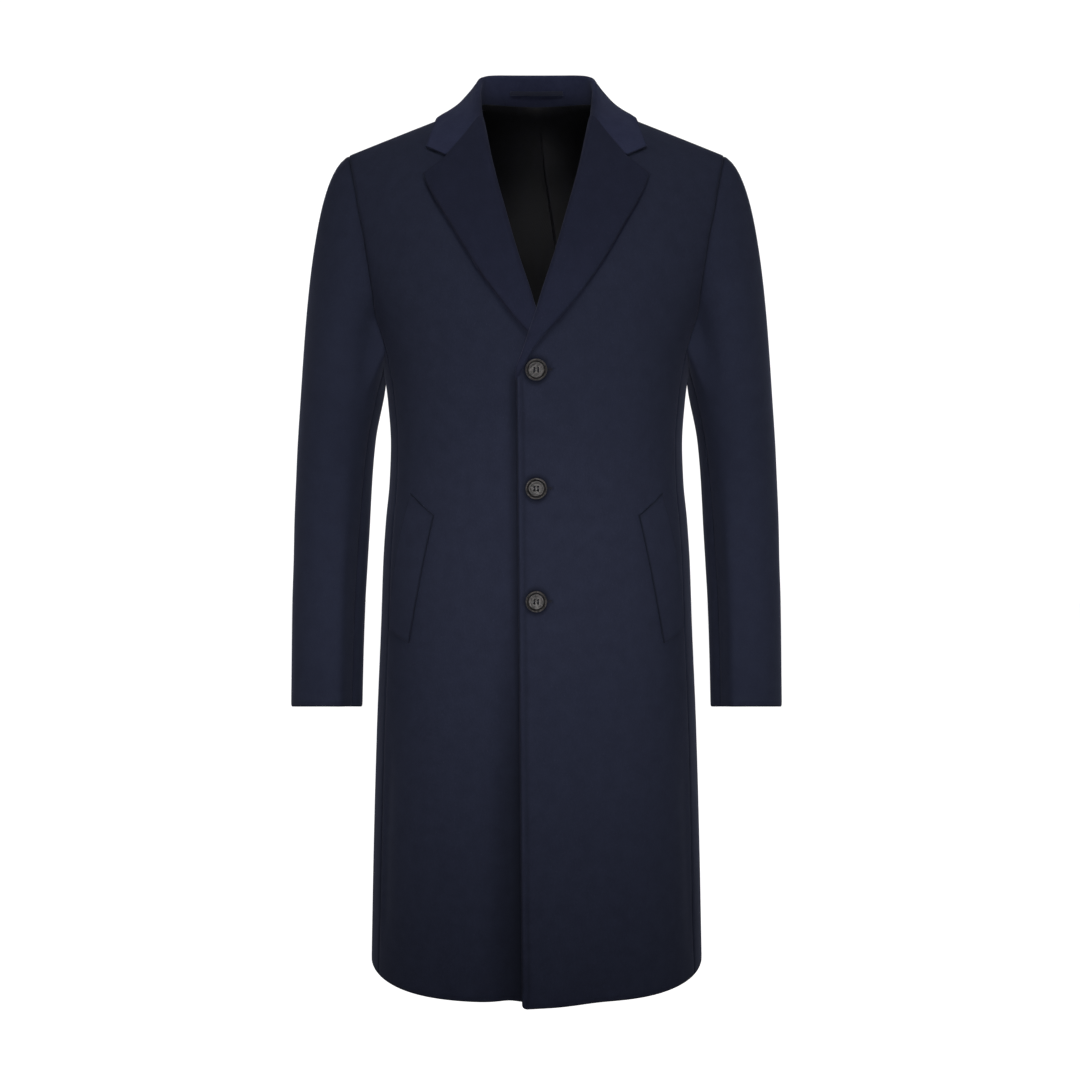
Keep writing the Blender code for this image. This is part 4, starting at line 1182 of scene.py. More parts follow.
@dataclass(frozen=True)
class Fronts:
    """The two fronts, from hem to shoulder seam and from edge to side seam; the left one laps over."""

    tailor: Tailor
    break_x: float = -0.0225
    break_z: float = -0.2900
    hem_edge_x: float = -0.0168
    hem_drop: float = 0.0060
    corner: float = 0.0065
    facing_width: float = 0.075
    edge_heights: tuple = (-0.2900, -0.2450, -0.1980, -0.1500, -0.1030, -0.0560, -0.0097, 0.0108)
    edge_ridge: float = 0.0013
    ridge_at: float = 0.0032
    ridge_width: float = 0.0026
    edge_groove: float = 0.0007
    groove_at: float = 0.0080
    groove_width: float = 0.0028
    # painted shade: strengths and places of the dark marks beside the lap, along the edge and round the buttons
    lap_shade: float = 1.00
    lap_top: float = -0.50
    lap_fade: float = 0.28
    edge_shade: float = 0.90
    turn_shade: float = 0.45
    turn_at: float = 0.0086
    button_shadow_radius: float = 0.0182
    button_shadow_fade: float = 0.0055
    hole_end_x: float = 0.0174
    close_columns: int = 8

    def edge_x(self, z: Array) -> Array:
        """x of the front edge: a straight line below the break, and the lapel's fold and its neck point above.

        Args:
            z: Heights.
        Returns:
            x at each.
        """
        body = self.tailor.body
        down = (self.break_z - z) / (self.break_z - self.tailor.hem_z)
        below = self.break_x + (self.hem_edge_x - self.break_x) * down
        top_z, top_x = body.roll_line[-1]
        climb = (z - top_z) / (body.neck_z - top_z)
        above = np.where(climb > 0, top_x + (body.neck_x - top_x) * climb, body.roll_x(z))
        return np.where(z < self.break_z, below, above)

    def upper(self, share: Array) -> tuple[Array, Array]:
        """Points above the side seam: straight across in x, and in the root of the distance under the ridge.

        Args:
            share: Shares of the way from the edge to the armhole.
        Returns:
            x and height.
        """
        body, armhole = self.tailor.body, self.tailor.armhole
        side = len(armhole.front)
        station = np.linspace(side, 0, side * 8 + 1)
        end_x, end_z, _ = (a[:, None] for a in armhole.point(station))
        edge_z = smooth(np.arange(side + 1), np.array(self.edge_heights), side - station)[:, None]
        edge_x = self.edge_x(edge_z)
        x = edge_x + (end_x - edge_x) * share
        under = [np.sqrt(np.maximum(body.ridge(a) - b, 0)) for a, b in ((edge_x, edge_z), (end_x, end_z))]
        return x, body.ridge(x) - (under[0] * (1 - share) + under[1] * share) ** 2

    def lower(self, share: Array, top: Array, over: bool) -> tuple[Array, Array]:
        """Points below it: evenly round the ring, turning into straight across near the top row.

        Args:
            share: Shares of the way from the edge to the side seam.
            top: Heights of the row above.
            over: Whether this is the outer front, whose hem drops at the edge.
        Returns:
            x and height.
        """
        body, armhole = self.tailor.body, self.tailor.armhole
        v = np.linspace(0, 1, 64)[:-1, None]
        hem_x = body.ring_x(armhole.side_angle * share, np.array(self.tailor.hem_z))
        hem_z = self.tailor.hem_z - (self.hem_drop * ease((0.10 - hem_x) / 0.10) if over else 0.0)
        z = hem_z + (top - hem_z) * v
        edge_x, end_x = self.edge_x(z), body.ring_x(armhole.side_angle, z)
        edge_angle = body.angle(edge_x, z)
        even = body.ring_x(edge_angle + (armhole.side_angle - edge_angle) * share, z)
        straight = edge_x + (end_x - edge_x) * share
        return even + (straight - even) * ease((v - 0.8) / 0.2), z

    def plan(self, over: bool) -> tuple[Array, Array]:
        """Points of a front: rows from hem to shoulder, columns from edge to side, closest beside the buttons.

        Args:
            over: Whether this is the outer front.
        Returns:
            x and height.
        """
        share = np.linspace(0, 1, 41)[None, :]
        up_x, up_z = self.upper(share)
        low_x, low_z = self.lower(share, up_z[:1], over)
        x, z = np.concatenate([low_x, up_x]), np.concatenate([low_z, up_z])
        close = refine(np.stack([x, z], axis=-1), self.tailor.body.point(x, z, True), self.tailor.spacing)
        columns, first = np.arange(close.shape[1]), len(EDGE_STEPS) - 1
        thirds = (columns[first : first + self.close_columns, None] + (1 / 3, 2 / 3)).ravel()
        at = np.sort(np.concatenate([columns, thirds]))
        close = smooth_along(1, columns, close, at)
        rows = np.arange(len(close))
        beside = (close[:, 0, 1] < BUTTON_HEIGHTS[0] + 0.03) & (close[:, 0, 1] > BUTTON_HEIGHTS[-1] - 0.03)
        close = smooth(rows, close, np.sort(np.concatenate([rows, rows[beside] + 0.5])))
        x, z = close[..., 0], close[..., 1]
        edge = np.clip(1 - (x - x[:, :1]) / self.corner, 0, 1)
        above = np.clip(1 - (z - z[:1]) / (4 * self.corner), 0, 1)
        return x, z + self.corner * (1 - np.sqrt(1 - edge**2)) * above

    def build(self) -> None:
        """Cuts both fronts: fuller just inside the edge, with painted shade beside and under the lap on the
        under front, and inside the edge, round the buttons and at the buttonholes on the outer front.
        """
        for side in Side:
            over = side is Side.LEFT
            x, z = self.plan(over)
            middle, normal = self.tailor.middle(x, z, True, side, over)
            across, up = lengths(middle, 1), lengths(middle, 0)
            ridge = self.edge_ridge * bell(across - self.ridge_at, self.ridge_width)
            ridge -= self.edge_groove * bell(across - self.groove_at, self.groove_width)
            below = ease((self.break_z + 0.004 - z) / 0.02)
            beyond = x + self.edge_x(z)
            lap = self.lap_top - z
            # painted shade on the under front: broad beside and under the lapped edge on the skirt, narrow
            # along it below the break
            under = self.lap_shade * bell(beyond, 0.016 + 0.014 * ease(lap / 0.5)) * ease(lap / self.lap_fade)
            under = np.maximum(under, self.edge_shade * bell(beyond - 0.0025, 0.0055) * below)
            # painted shade on the outer front: a line inside its edge, a ring round each button and a spot at
            # each buttonhole's end
            turned = self.turn_shade * bell(across - self.turn_at, 0.0018) * below
            for height in BUTTON_HEIGHTS:
                button_shadow = ease((self.button_shadow_radius - np.hypot(x, z - height)) / self.button_shadow_fade)
                buttonhole_shade = bell(np.hypot(x - self.hole_end_x, z - height), 0.0022)
                turned = np.maximum.reduce([turned, button_shadow, buttonhole_shade])
            lined = (across > self.facing_width) & (up > self.tailor.lining_margin)
            self.tailor.sew_melton(
                side,
                "front",
                middle,
                normal,
                sewn_to=("back", "sleeve_top"),
                relief=ridge * below,
                lined=lined,
                pressed=turned if over else under,
            )


@dataclass(frozen=True)
class Backs:
    """The two backs, joined by the centre seam; each goes round the side to the side seam below the armhole."""

    tailor: Tailor
    centre_z: float = -0.275
    bunch: float = 0.9
    centre_gap: float = -0.00003

    def columns(self) -> tuple[Array, Array]:
        """The columns: evenly spaced, and closer beside each seam.

        Returns:
            Shares from the centre seam to the armhole's back end, and armhole stations from there to the side.
        """
        armhole = self.tailor.armhole
        share = spaced(0.26, self.tailor.spacing)
        first, last = len(armhole.front), len(armhole.front) + len(armhole.under) - 1
        return share, last - (last - first) * spaced(0.135, self.tailor.spacing)[1:]

    def plan(self) -> tuple[Array, Array, Array]:
        """Degrees round and height of the left back's points.

        Returns:
            Degrees, heights, and which cells have cloth: beyond the armhole they have none.
        """
        armhole, body = self.tailor.armhole, self.tailor.body
        share, strip = self.columns()
        corner = len(armhole.front) + len(armhole.under) - 1
        station = np.linspace(corner, armhole.count, (armhole.count - corner) * 8 + 1)
        end_angle, end_z = (a[:, None] for a in armhole.at(station))
        climb = ((station - corner) / (armhole.count - corner))[:, None]
        middle_z = self.centre_z + (body.nape_z - self.centre_z) * climb
        z = middle_z + (end_z - middle_z) * share ** (1 + climb)
        even = 180 + (end_angle - 180) * share**self.bunch
        even_x, end_x = body.ring_x(180 - even, z), body.ring_x(180 - end_angle, end_z)
        x = even_x + (end_x * share - even_x) * ease(climb / 0.6)
        neck = body.nape_z + (body.neck_z - body.nape_z) * (x / body.neck_x) ** 2
        seam = np.where(x < body.neck_x, neck, body.ridge(x))
        z = np.minimum(z + (seam - z) * ease((climb - 0.72) / 0.28), body.ridge(x, False))
        angle = 180 - body.angle(x, z)
        close = np.stack([angle, z], axis=-1)
        run = lengths(body.around(angle, z), 0).mean(axis=1)
        upper = smooth(run, close, spaced(run[-1], self.tailor.spacing) * run[-1])
        strip_angle, strip_z = armhole.at(strip)
        first = np.concatenate([upper[0], np.stack([strip_angle, strip_z], axis=-1)])
        v = spaced(first[:, 1].mean() - self.tailor.hem_z, self.tailor.spacing)[:-1, None]
        lower_z = self.tailor.hem_z + (first[:, 1] - self.tailor.hem_z) * v
        side = np.full(lower_z.shape, first[:, 0])
        cut = np.broadcast_to(first[len(share) :], (len(upper), len(strip), 2))
        top = np.concatenate([upper, cut], axis=1)
        grid = np.concatenate([np.stack([side, lower_z], axis=-1), top])
        keep = np.ones((grid.shape[0] - 1, grid.shape[1] - 1), bool)
        keep[len(v) :, len(share) - 1 :] = False
        return grid[..., 0], grid[..., 1], keep

    def build(self) -> None:
        """Cuts both backs, lined inside but for the cloth turned up at the hem."""
        body = self.tailor.body
        angle, z, keep = self.plan()
        front = angle < 90
        x = body.ring_x(np.where(front, angle, 180 - angle), z)
        for side in Side:
            middle, normal = self.tailor.middle(x, z, front, side, False)
            middle[:, 0, 0] = self.centre_gap
            lined = lengths(middle, 0) > self.tailor.lining_margin
            options = {"sewn_to": ("front", "sleeve_top"), "lined": lined, "keep": keep}
            self.tailor.sew_melton(side, "back", middle, normal, **options)


# ---- sleeves


@dataclass(frozen=True)
class Sleeves:
    """Two-piece sleeves: a top sleeve round the outside, and a narrow under sleeve next to the body."""

    tailor: Tailor
    drapes: dict[Side, Drape]
    front_seam: int = 8
    hind_seam: int = 12
    cap: float = 0.33

    def grid(self, first: int, last: int, side: Side) -> tuple[Array, Array]:
        """Middle of one sleeve piece between two stations of the armhole, with the sleeve's own creases.

        Args:
            first: Station at one seam.
            last: Station at the other.
            side: The side that the creases are taken from.
        Returns:
            The points and the outward normals.
        """
        form = self.tailor.sleeve
        station = first + (last - first) * spaced((last - first) * 0.026, self.tailor.spacing)
        dense = form.grid(station)
        run = lengths(dense, 0).mean(axis=1)
        points = smooth(run, dense, spaced(run[-1], self.tailor.spacing) * run[-1])
        wrapped = np.where(station > form.armhole.count + 1e-9, station - form.armhole.count, station)
        seam = form.armhole.body.normal(*form.armhole.point(wrapped))
        near = 1 - ease(lengths(points, 0) / 0.05)
        drawn = self.tailor.drapes[side].relief(*form.armhole.at(wrapped)) * near
        points = points + seam * drawn[..., None]
        angles = np.broadcast_to(form.angles(wrapped), points.shape[:2])
        turn = np.radians(angles)
        outwards = np.stack([np.cos(turn), -np.sin(turn), np.zeros_like(turn)], axis=-1)
        normal = grid_normals(points, outwards)
        normal[0] = seam
        stand = self.drapes[side].relief(angles, points[..., 2]) * ease(lengths(points, 0) / 0.04)
        return points + normal * stand[..., None], normal

    def build(self) -> None:
        """Cuts the four sleeve pieces, lined inside but for the cloth turned up at the cuff."""
        whole_round = self.tailor.armhole.count + self.front_seam
        top = ("sleeve_top", self.hind_seam, whole_round)
        under = ("sleeve_under", self.front_seam, self.hind_seam)
        for side in Side:
            for kind, first, last in (top, under):
                middle, normal = self.grid(first, last, side)
                up = lengths(middle, 0)
                lined = up[-1:] - up > self.tailor.lining_margin
                sewn_to = ("front", "sleeve_under" if kind == "sleeve_top" else "sleeve_top")
                options = {"sewn_to": sewn_to, "cap": self.cap, "lined": lined}
                self.tailor.sew_melton(side, kind, middle, normal, **options)


# ---- lapels and collar


@dataclass(frozen=True)
class Lapels:
    """The lapels: the fronts' upper edges turned back along the roll line, faced with the same cloth."""

    tailor: Tailor
    wall: Wall = Wall(0.0034, 0.0017)
    notch: tuple[float, float] = (0.1015, -0.0540)
    edge: tuple = (
        # share of the way down from the tip, x, height
        (0.000, 0.1275, -0.0750),
        (0.057, 0.1230, -0.0870),
        (0.285, 0.0960, -0.1350),
        (0.522, 0.0650, -0.1850),
        (0.740, 0.0320, -0.2270),
        (0.873, 0.0010, -0.2630),
        (0.935, -0.0088, -0.2790),
        (1.000, -0.0208, -0.2985),
    )
    top_z: float = -0.0097
    foot_z: float = -0.3050
    notch_share: float = 0.625
    notch_fade: float = 0.30
    proud: float = 0.0009
    under_parting: float = 0.0022
    under_trim: float = 0.0038
    inside: float = 0.014
    roll: float = 0.0030
    roll_width: float = 0.017
    belly: float = 0.0012
    edge_lift: float = 0.0024
    edge_width: float = 0.022
    edge_roll: float = 0.0007
    sunk: float = 0.0008
    foot_in: float = 0.0016
    shade: float = 0.30

    def plan(self, v: Array, across: Array, over: bool = True) -> tuple[Array, Array]:
        """x and height in the front view.

        Args:
            v: Share of the way down the fold.
            across: Share of the way from the fold to the free edge.
            over: Whether it is the outer front's, a little wider at its middle.
        Returns:
            Places on straight lines between fold and edge, the topmost bent to reach the notch.
        """
        table = np.array(self.edge)
        fold_z = self.top_z + (self.foot_z - self.top_z) * v
        fold_x = self.tailor.body.roll_x(fold_z) + self.foot_in * ease((v - 0.82) / 0.18)
        edge_x, edge_z = smooth(table[:, 0], table[:, 1], v), smooth(table[:, 0], table[:, 2], v)
        if not over:
            edge_x = edge_x - self.under_trim * np.sin(np.pi * np.clip(v, 0, 1))
        tent = np.minimum(across / self.notch_share, (1 - across) / (1 - self.notch_share))
        fade = np.clip(1 - v / self.notch_fade, 0, 1) ** 2 * tent
        top_x = float(self.tailor.body.roll_x(np.array(self.top_z)))
        off_x = self.notch[0] - (top_x + (table[0, 1] - top_x) * self.notch_share)
        off_z = self.notch[1] - (self.top_z + (table[0, 2] - self.top_z) * self.notch_share)
        x, z = fold_x + (edge_x - fold_x) * across, fold_z + (edge_z - fold_z) * across
        return x + off_x * fade, z + off_z * fade

    def grid(self, over: bool) -> tuple[Array, Array]:
        """Middle of the lapel's cloth: rows down the fold, columns from the free edge over it to the inside.

        It rises off the chest towards its fold, goes round it in a half circle, and runs on inside the front.

        Args:
            over: Whether it is the outer front's.
        Returns:
            The points, and the normals on the face that shows.
        """
        body, cloth = self.tailor.body, self.tailor.wall.thickness
        v = spaced(0.30, 0.0040)[:, None]
        near, far = np.linspace(0, 1, 28) ** 1.15, spaced(0.045, 0.0030)
        share = self.notch_share
        across = np.concatenate([near * share, share + (1 - share) * far[5:]])[None, :]
        x, z = self.plan(v, across, over)
        width = np.hypot(x - x[:, :1], z - z[:, :1])
        taper = ease((1 - v) / 0.35)
        half = self.wall.thickness / 2
        roll = self.roll * taper * bell(width, self.roll_width)
        belly = self.belly * taper * np.sin(np.pi * np.clip(width / width[:, -1:], 0, 1))
        lift = self.edge_lift * bell(width[:, -1:] - width, self.edge_width) * ease((1 - v) / 0.25)
        flush, tucked = ease((v - 0.945) / 0.055), 1 - ease((v - 0.78) / 0.20)
        stand = (self.proud + half + roll + belly + lift) * (1 - flush) - (half + self.sunk) * flush
        lying, normal = body.raised(x, z, stand, over)
        fold, fold_normal = body.raised(x[:, 0], z[:, 0], 0.0, over)
        away = lying[:, 2] - lying[:, 0]
        away = unit(away - fold_normal * dot(away, fold_normal))
        top = stand[:, :1]
        foot = cloth + half * 0.2 + self.under_parting * ease((1 - v) / 0.25)
        turn = np.radians(np.linspace(0, 180, 15))[1:, None, None]
        centre, radius = fold + fold_normal * (top - foot) / 2, (top + foot) / 2
        arc = np.moveaxis(centre + radius * (fold_normal * np.cos(turn) - away * np.sin(turn) * tucked), 0, 1)
        step = np.linspace(0, 1, 6)[1:, None, None]
        inside = fold + away * self.inside * step * (1 - 0.6 * v)
        inside, _ = body.raised(inside[..., 0], inside[..., 2], -foot[:, 0], over)
        points = np.concatenate([lying[:, ::-1], arc, np.moveaxis(inside, 0, 1)], axis=1)
        hidden = np.broadcast_to(fold_normal[:, None], (len(v), 19, 3))
        showing = np.concatenate([normal[:, ::-1], hidden], axis=1)
        found = grid_normals(points, showing[:, : lying.shape[1]].mean(axis=(0, 1)))
        return points, found * np.where(dot(found, showing)[:, : lying.shape[1]].mean() < 0, -1.0, 1.0)

    def build(self) -> None:
        """Cuts both lapels."""
        for side in Side:
            middle, normal = self.grid(side is Side.LEFT)
            relief = self.edge_roll * bell(lengths(middle, 1) - 0.0050, 0.0035)
            # painted shade, growing towards the lapel's top
            pressed = self.shade * ease((middle[..., 2] + 0.24) / 0.12)
            cloth = [self.tailor.finishes.lapel]
            options = {"relief": relief, "pressed": pressed}
            sew(side, "lapel", middle, normal, self.wall, cloth, "navy_melton_lapel", ("front",), **options)


@dataclass(frozen=True)
class Collar:
    """The collar: a stand up from the neck seam, folded over into a fall that lies on the shoulders."""

    tailor: Tailor
    lapels: Lapels
    wall: Wall = Wall(0.0026, 0.0014)
    stations: tuple = (
        # share from nape to gorge; fold x, y, height; outer edge x, height
        (0.00, 0.0000, 0.0800, 0.0515, 0.0000, 0.0020),
        (0.14, 0.0230, 0.0780, 0.0513, 0.0370, 0.0010),
        (0.28, 0.0450, 0.0700, 0.0505, 0.0710, -0.0030),
        (0.41, 0.0620, 0.0540, 0.0475, 0.0950, -0.0080),
        (0.53, 0.0685, 0.0330, 0.0395, 0.1080, -0.0080),
        (0.65, 0.0692, 0.0120, 0.0270, 0.1150, -0.0072),
        (0.78, 0.0682, -0.0100, 0.0115, 0.1190, -0.0170),
        (0.90, 0.0668, -0.0260, -0.0010, 0.1225, -0.0290),
        (1.00, 0.0652, -0.0390, -0.0092, 0.1262, -0.0425),
    )
    sections: int = 12
    fold: float = 0.0025
    tuck: float = 0.0026
    lying_share: float = 0.62
    clear: float = 0.0010
    edge_lift: float = 0.0014
    gorge_parting: float = 0.0006
    stand_seam: float = 0.0085
    stand_shade: float = 1.00

    def section(self, share: float, fall: Array, climb: Array, turn: Array) -> Array:
        """Middle of the cloth across one place: up the stand, a half circle over the fold, and down the fall.

        At the back the fall hangs free of the neck; towards the gorge it settles on to the chest.

        Args:
            share: Place from the nape, 0, to the gorge, 1.
            fall: Shares of the way down the fall.
            climb: Shares of the way up the stand.
            turn: Angles round the fold, from 180 degrees down.
        Returns:
            One point for each of climb, turn and fall.
        """
        body, cloth, table = self.tailor.body, self.tailor.wall.thickness, np.array(self.stations)
        row = smooth(table[:, 0], table[:, 1:], np.array(share))
        fold, edge_x, edge_z = row[:3], row[3], row[4]
        front = share > self.lying_share
        lying = float(ease((share - self.lying_share) / (1 - self.lying_share)))
        clear = self.clear * float(ease(1 - abs(share - self.lying_share) / 0.28))
        over = self.lapels.proud + self.wall.thickness / 2 + clear
        if 0.55 < share < 0.7:
            edge_z = min(edge_z, float(body.ridge(edge_x)) - 1e-6)
        edge = body.point(edge_x, edge_z, front) + body.normal(edge_x, edge_z, front) * over
        gorge_x, gorge_z = self.lapels.plan(np.array(0.0), np.clip(fall / 0.7, 0, 1) * self.lapels.notch_share)
        past = np.clip((fall - 0.7) / 0.3, 0, 1)
        end_x = gorge_x + (table[-1, 4] - self.lapels.notch[0]) * past
        end_z = gorge_z + (table[-1, 5] - self.lapels.notch[1]) * past + self.gorge_parting * (1 - past)
        flat_x = fold[0] + (edge_x - fold[0]) * fall
        flat_z = fold[2] + (edge_z - fold[2]) * fall
        flat_x, flat_z = flat_x + (end_x - flat_x) * lying, flat_z + (end_z - flat_z) * lying
        stand_off = over + self.edge_lift * lying * ease((fall - 0.5) / 0.5)
        flat, _ = body.raised(flat_x, np.minimum(flat_z, body.ridge(flat_x) - 1e-5), stand_off, False)
        end_point, end_normal = body.raised(end_x[0], end_z[0], 0.0, False)
        outward = unit(unit(np.array([fold[0], fold[1] - 0.02, 0.0])) * (1 - lying) + end_normal * lying)
        down = unit(flat[len(fall) // 6] - flat[0])
        apex = unit(np.array([0, 0, 1.0]) * (1 - lying) - down * lying)
        apex = unit(apex - outward * (apex @ outward))
        inside = cloth + self.tuck + self.wall.thickness / 2
        radius = self.fold * (1 - lying) + (over + inside) / 2 * lying
        centre = fold * (1 - lying) + (end_point + end_normal * (over - inside) / 2) * lying
        outer = centre + outward * radius
        hanging = outer + (edge - outer) * fall[:, None]
        hanging += (outward * 0.0008 + np.array([0, 0, 0.0014])) * np.sin(np.pi * fall)[:, None]
        falling = hanging + (flat - hanging) * float(ease((share - 0.45) / 0.35))
        falling += (outer - falling[0]) * bell(fall, 0.12)[:, None]
        neck_x, neck_z = body.neck_x * math.sin(math.pi / 2 * min(share / self.lying_share, 1.0)), body.nape_z
        if front:
            low = (share - self.lying_share) / (1 - self.lying_share)
            neck_z = body.neck_z + (self.lapels.top_z - body.neck_z) * low
            neck_x = body.neck_x + (body.roll_line[-1][1] - body.neck_x) * low
        neck = body.point(neck_x, neck_z, front) - body.normal(neck_x, neck_z, front) * cloth / 2
        top = centre - outward * radius
        foot = (neck + unit(top - neck) * 0.0014) * (1 - lying) + (top + down * 0.006) * lying
        stand = foot + (top - foot) * climb[:, None]
        angle = np.radians(turn)[:, None]
        arc = centre + radius * (outward * np.cos(angle) + apex * np.sin(angle))
        return np.concatenate([stand, arc, falling])

    def half(self, fall: Array, climb: Array, turn: Array) -> Array:
        """Sections from the nape to the left gorge."""
        shares = np.linspace(0, 1, self.sections)
        return np.array([self.section(share, fall, climb, turn) for share in shares])

    def build(self) -> None:
        """Cuts the collar in one piece round the neck, with the faint seam that joins stand and fall inside."""
        fall, climb = np.linspace(0, 1, 22), np.linspace(0, 1, 9)[:-1]
        half = self.half(fall, climb, np.linspace(180, 0, 13)[:-1])
        whole = np.concatenate([Side.RIGHT.turn(half[:0:-1]), half])
        round_, across = lengths(whole, 0).mean(axis=1), lengths(whole, 1).mean(axis=0)
        middle = smooth(round_, whole, spaced(round_[-1], 0.0035) * round_[-1])
        at = spaced(across[-1], 0.0022) * across[-1]
        middle = smooth_along(1, across, middle, at)
        normal = grid_normals(middle, np.array([0, 0, 1.0]))
        run = lengths(middle, 1)
        fold_at = across[len(climb) + 6]
        relief = -0.00045 * bell(run - (fold_at - self.stand_seam), 0.0009)
        # painted shade on the stand, darkest at the neck seam and fading up it
        pressed = self.stand_shade * bell(run, 0.019)
        cloth = [self.tailor.finishes.collar]
        piece = shell("collar_cloth", middle, normal, self.wall, cloth, relief, pressed=pressed)
        lay(piece, ("collar",))


# ---- lining, welts, loop


@dataclass(frozen=True)
class BackLining:
    """The lining inside the back, with an ease pleat down its centre, laid from the wearer's left to right."""

    tailor: Tailor
    wall: Wall = Wall(0.0010, 0.0006)
    parting: float = 0.0030
    over_seam: float = 0.0062
    stand_lean: float = 0.30
    foot_z: float = -0.452
    margin: float = 0.009
    pleat_depth: float = 0.0085
    pleat_fold: float = 0.0016
    pleat_width: float = 0.045
    pleat_x: float = 0.0055
    drift: float = 0.135
    crease: float = 0.0016
    before_fold: tuple = (-0.012, -0.006, -0.003, -0.0018, -0.0012, -0.0006)
    past_fold: tuple = (0.0, 0.0012, 0.004, 0.010, 0.018, 0.030)

    def fold_x(self, z: Array) -> Array:
        """x of the pleat's fold, which drifts outwards on the way down."""
        return self.pleat_x - self.drift * z

    def pleat(self, x: Array, z: Array) -> Array:
        """How far the pleat stands off: a slow rise from the left, and a sharp fall past its fold.

        Args:
            x: Places across.
            z: Their heights.
        Returns:
            The distances inwards.
        """
        fold = self.fold_x(z)
        rising = np.clip((fold + self.pleat_width - x) / self.pleat_width, 0, 1)
        depth = self.pleat_depth * ease((-0.002 - z) / 0.05)
        return depth * np.minimum(ease(rising), np.clip((x - fold + self.pleat_fold) / self.pleat_fold, 0, 1))

    def build(self) -> None:
        """Lays the lining inside the back's cloth, from the waist up to the neck seam."""
        body, armhole = self.tailor.body, self.tailor.armhole
        v = spaced(0.46, 0.005)[:, None]
        corner = len(armhole.front) + len(armhole.under) - 1
        station = corner + (armhole.count - corner) * ease(np.clip((v - 0.4) / 0.6, 0, 1)) ** 0.8
        side_angle, side_z = armhole.at(np.where(v > 0.4, station, corner))
        side_z = side_z + (self.foot_z - side_z) * ease(1 - v / 0.4)
        side_x = body.ring_x(180 - side_angle, side_z) - self.margin
        centre_z = self.foot_z + (body.nape_z + self.over_seam - self.foot_z) * v
        half, fold = np.sin(np.pi / 2 * np.linspace(0, 1, 34))[None, :], self.fold_x(centre_z)
        near = fold + np.array(self.before_fold + self.past_fold)
        right = near[:, :1] + (-side_x - near[:, :1]) * half[:, :0:-1]
        left = near[:, -1:] + (side_x - near[:, -1:]) * half[:, 1:]
        x = np.concatenate([right, near, left], axis=1)
        z = centre_z + (side_z - centre_z) * np.abs(x / side_x) ** (2 + v)
        rise = body.nape_z + self.over_seam - body.neck_z
        neck = body.neck_z + rise * ease((body.neck_x - np.abs(x)) / 0.014)
        neck = np.where(np.abs(x) < body.neck_x, neck, body.ridge(np.abs(x)) - self.margin * 0.6)
        z = np.minimum(z, neck)
        low = np.minimum(z, body.neck_z)
        normal = body.normal(x, low, False)
        parting = self.parting * (1 - 0.75 * ease((z + 0.05) / 0.05))
        inset = self.tailor.wall.thickness + parting + self.wall.thickness / 2 + self.pleat(x, z)
        level = np.array([1.0, 1.0, 0.0]) + np.array([0, 0, 1.0]) * (1 - ease((z + 0.05) / 0.04))[..., None]
        middle = body.point(x, low, False) - unit(normal * level) * inset[..., None]
        middle = middle + (z - low)[..., None] * np.array([0.0, -self.stand_lean, 1.0])
        crease = self.crease * bell(x + 0.055 - 0.1 * z, 0.012) * ease(-z / 0.1)
        middle = middle - np.array([0, 1.0, 0]) * crease[..., None]
        piece = shell(
            "back_lining_cloth",
            middle,
            grid_normals(middle, np.array([0, -1.0, 0])),
            self.wall,
            [self.tailor.finishes.lining],
        )
        lay(piece, ("lining_back",))


@dataclass(frozen=True)
class PocketWelts:
    """Slanted welts of the two hand pockets, sewn at both ends, the open edge towards the side."""

    tailor: Tailor
    wall: Wall = Wall(0.0022, 0.0012)
    corners: tuple = (
        # x, height of: top inner, top outer, bottom outer, bottom inner
        (0.1165, -0.4600),
        (0.1450, -0.4370),
        (0.1730, -0.6000),
        (0.1475, -0.6120),
    )
    bow: float = 1.5
    proud: float = 0.0004
    gape: float = 0.0014
    stitch_in: float = 0.0042

    def build(self) -> None:
        """Lays a band between its corners, bellied along its open edge, with a line of stitches at each end."""
        body = self.tailor.body
        corner = np.array(self.corners)
        flat = np.stack([body.angle(corner[:, 0], corner[:, 1]), corner[:, 1]], axis=-1)
        along, across = spaced(0.165, 0.004)[:, None, None], spaced(0.034, 0.0024)[None, :, None]
        top = flat[0] + (flat[1] - flat[0]) * across
        foot = flat[3] + (flat[2] - flat[3]) * across
        plan = top + (foot - top) * along
        along, across = along[..., 0], across[..., 0]
        angle = plan[..., 0] + self.bow * np.sin(np.pi * along) * across
        x = body.ring_x(angle, plan[..., 1])
        stand = self.proud + self.wall.thickness / 2 + self.gape * np.sin(np.pi * along) * across**2
        middle, normal = body.raised(x, plan[..., 1], stand, False)
        run = lengths(middle, 0)
        ends = bell(run - self.stitch_in, 0.0007) + bell(run[-1:] - run - self.stitch_in, 0.0007)
        relief = -0.0004 * ends - 0.0003 * bell(lengths(middle, 1) - 0.0030, 0.0010)
        for side in Side:
            cloth = [self.tailor.finishes.melton]
            sew(side, "pocket_welt", middle, normal, self.wall, cloth, "navy_melton", ("front",), relief=relief)


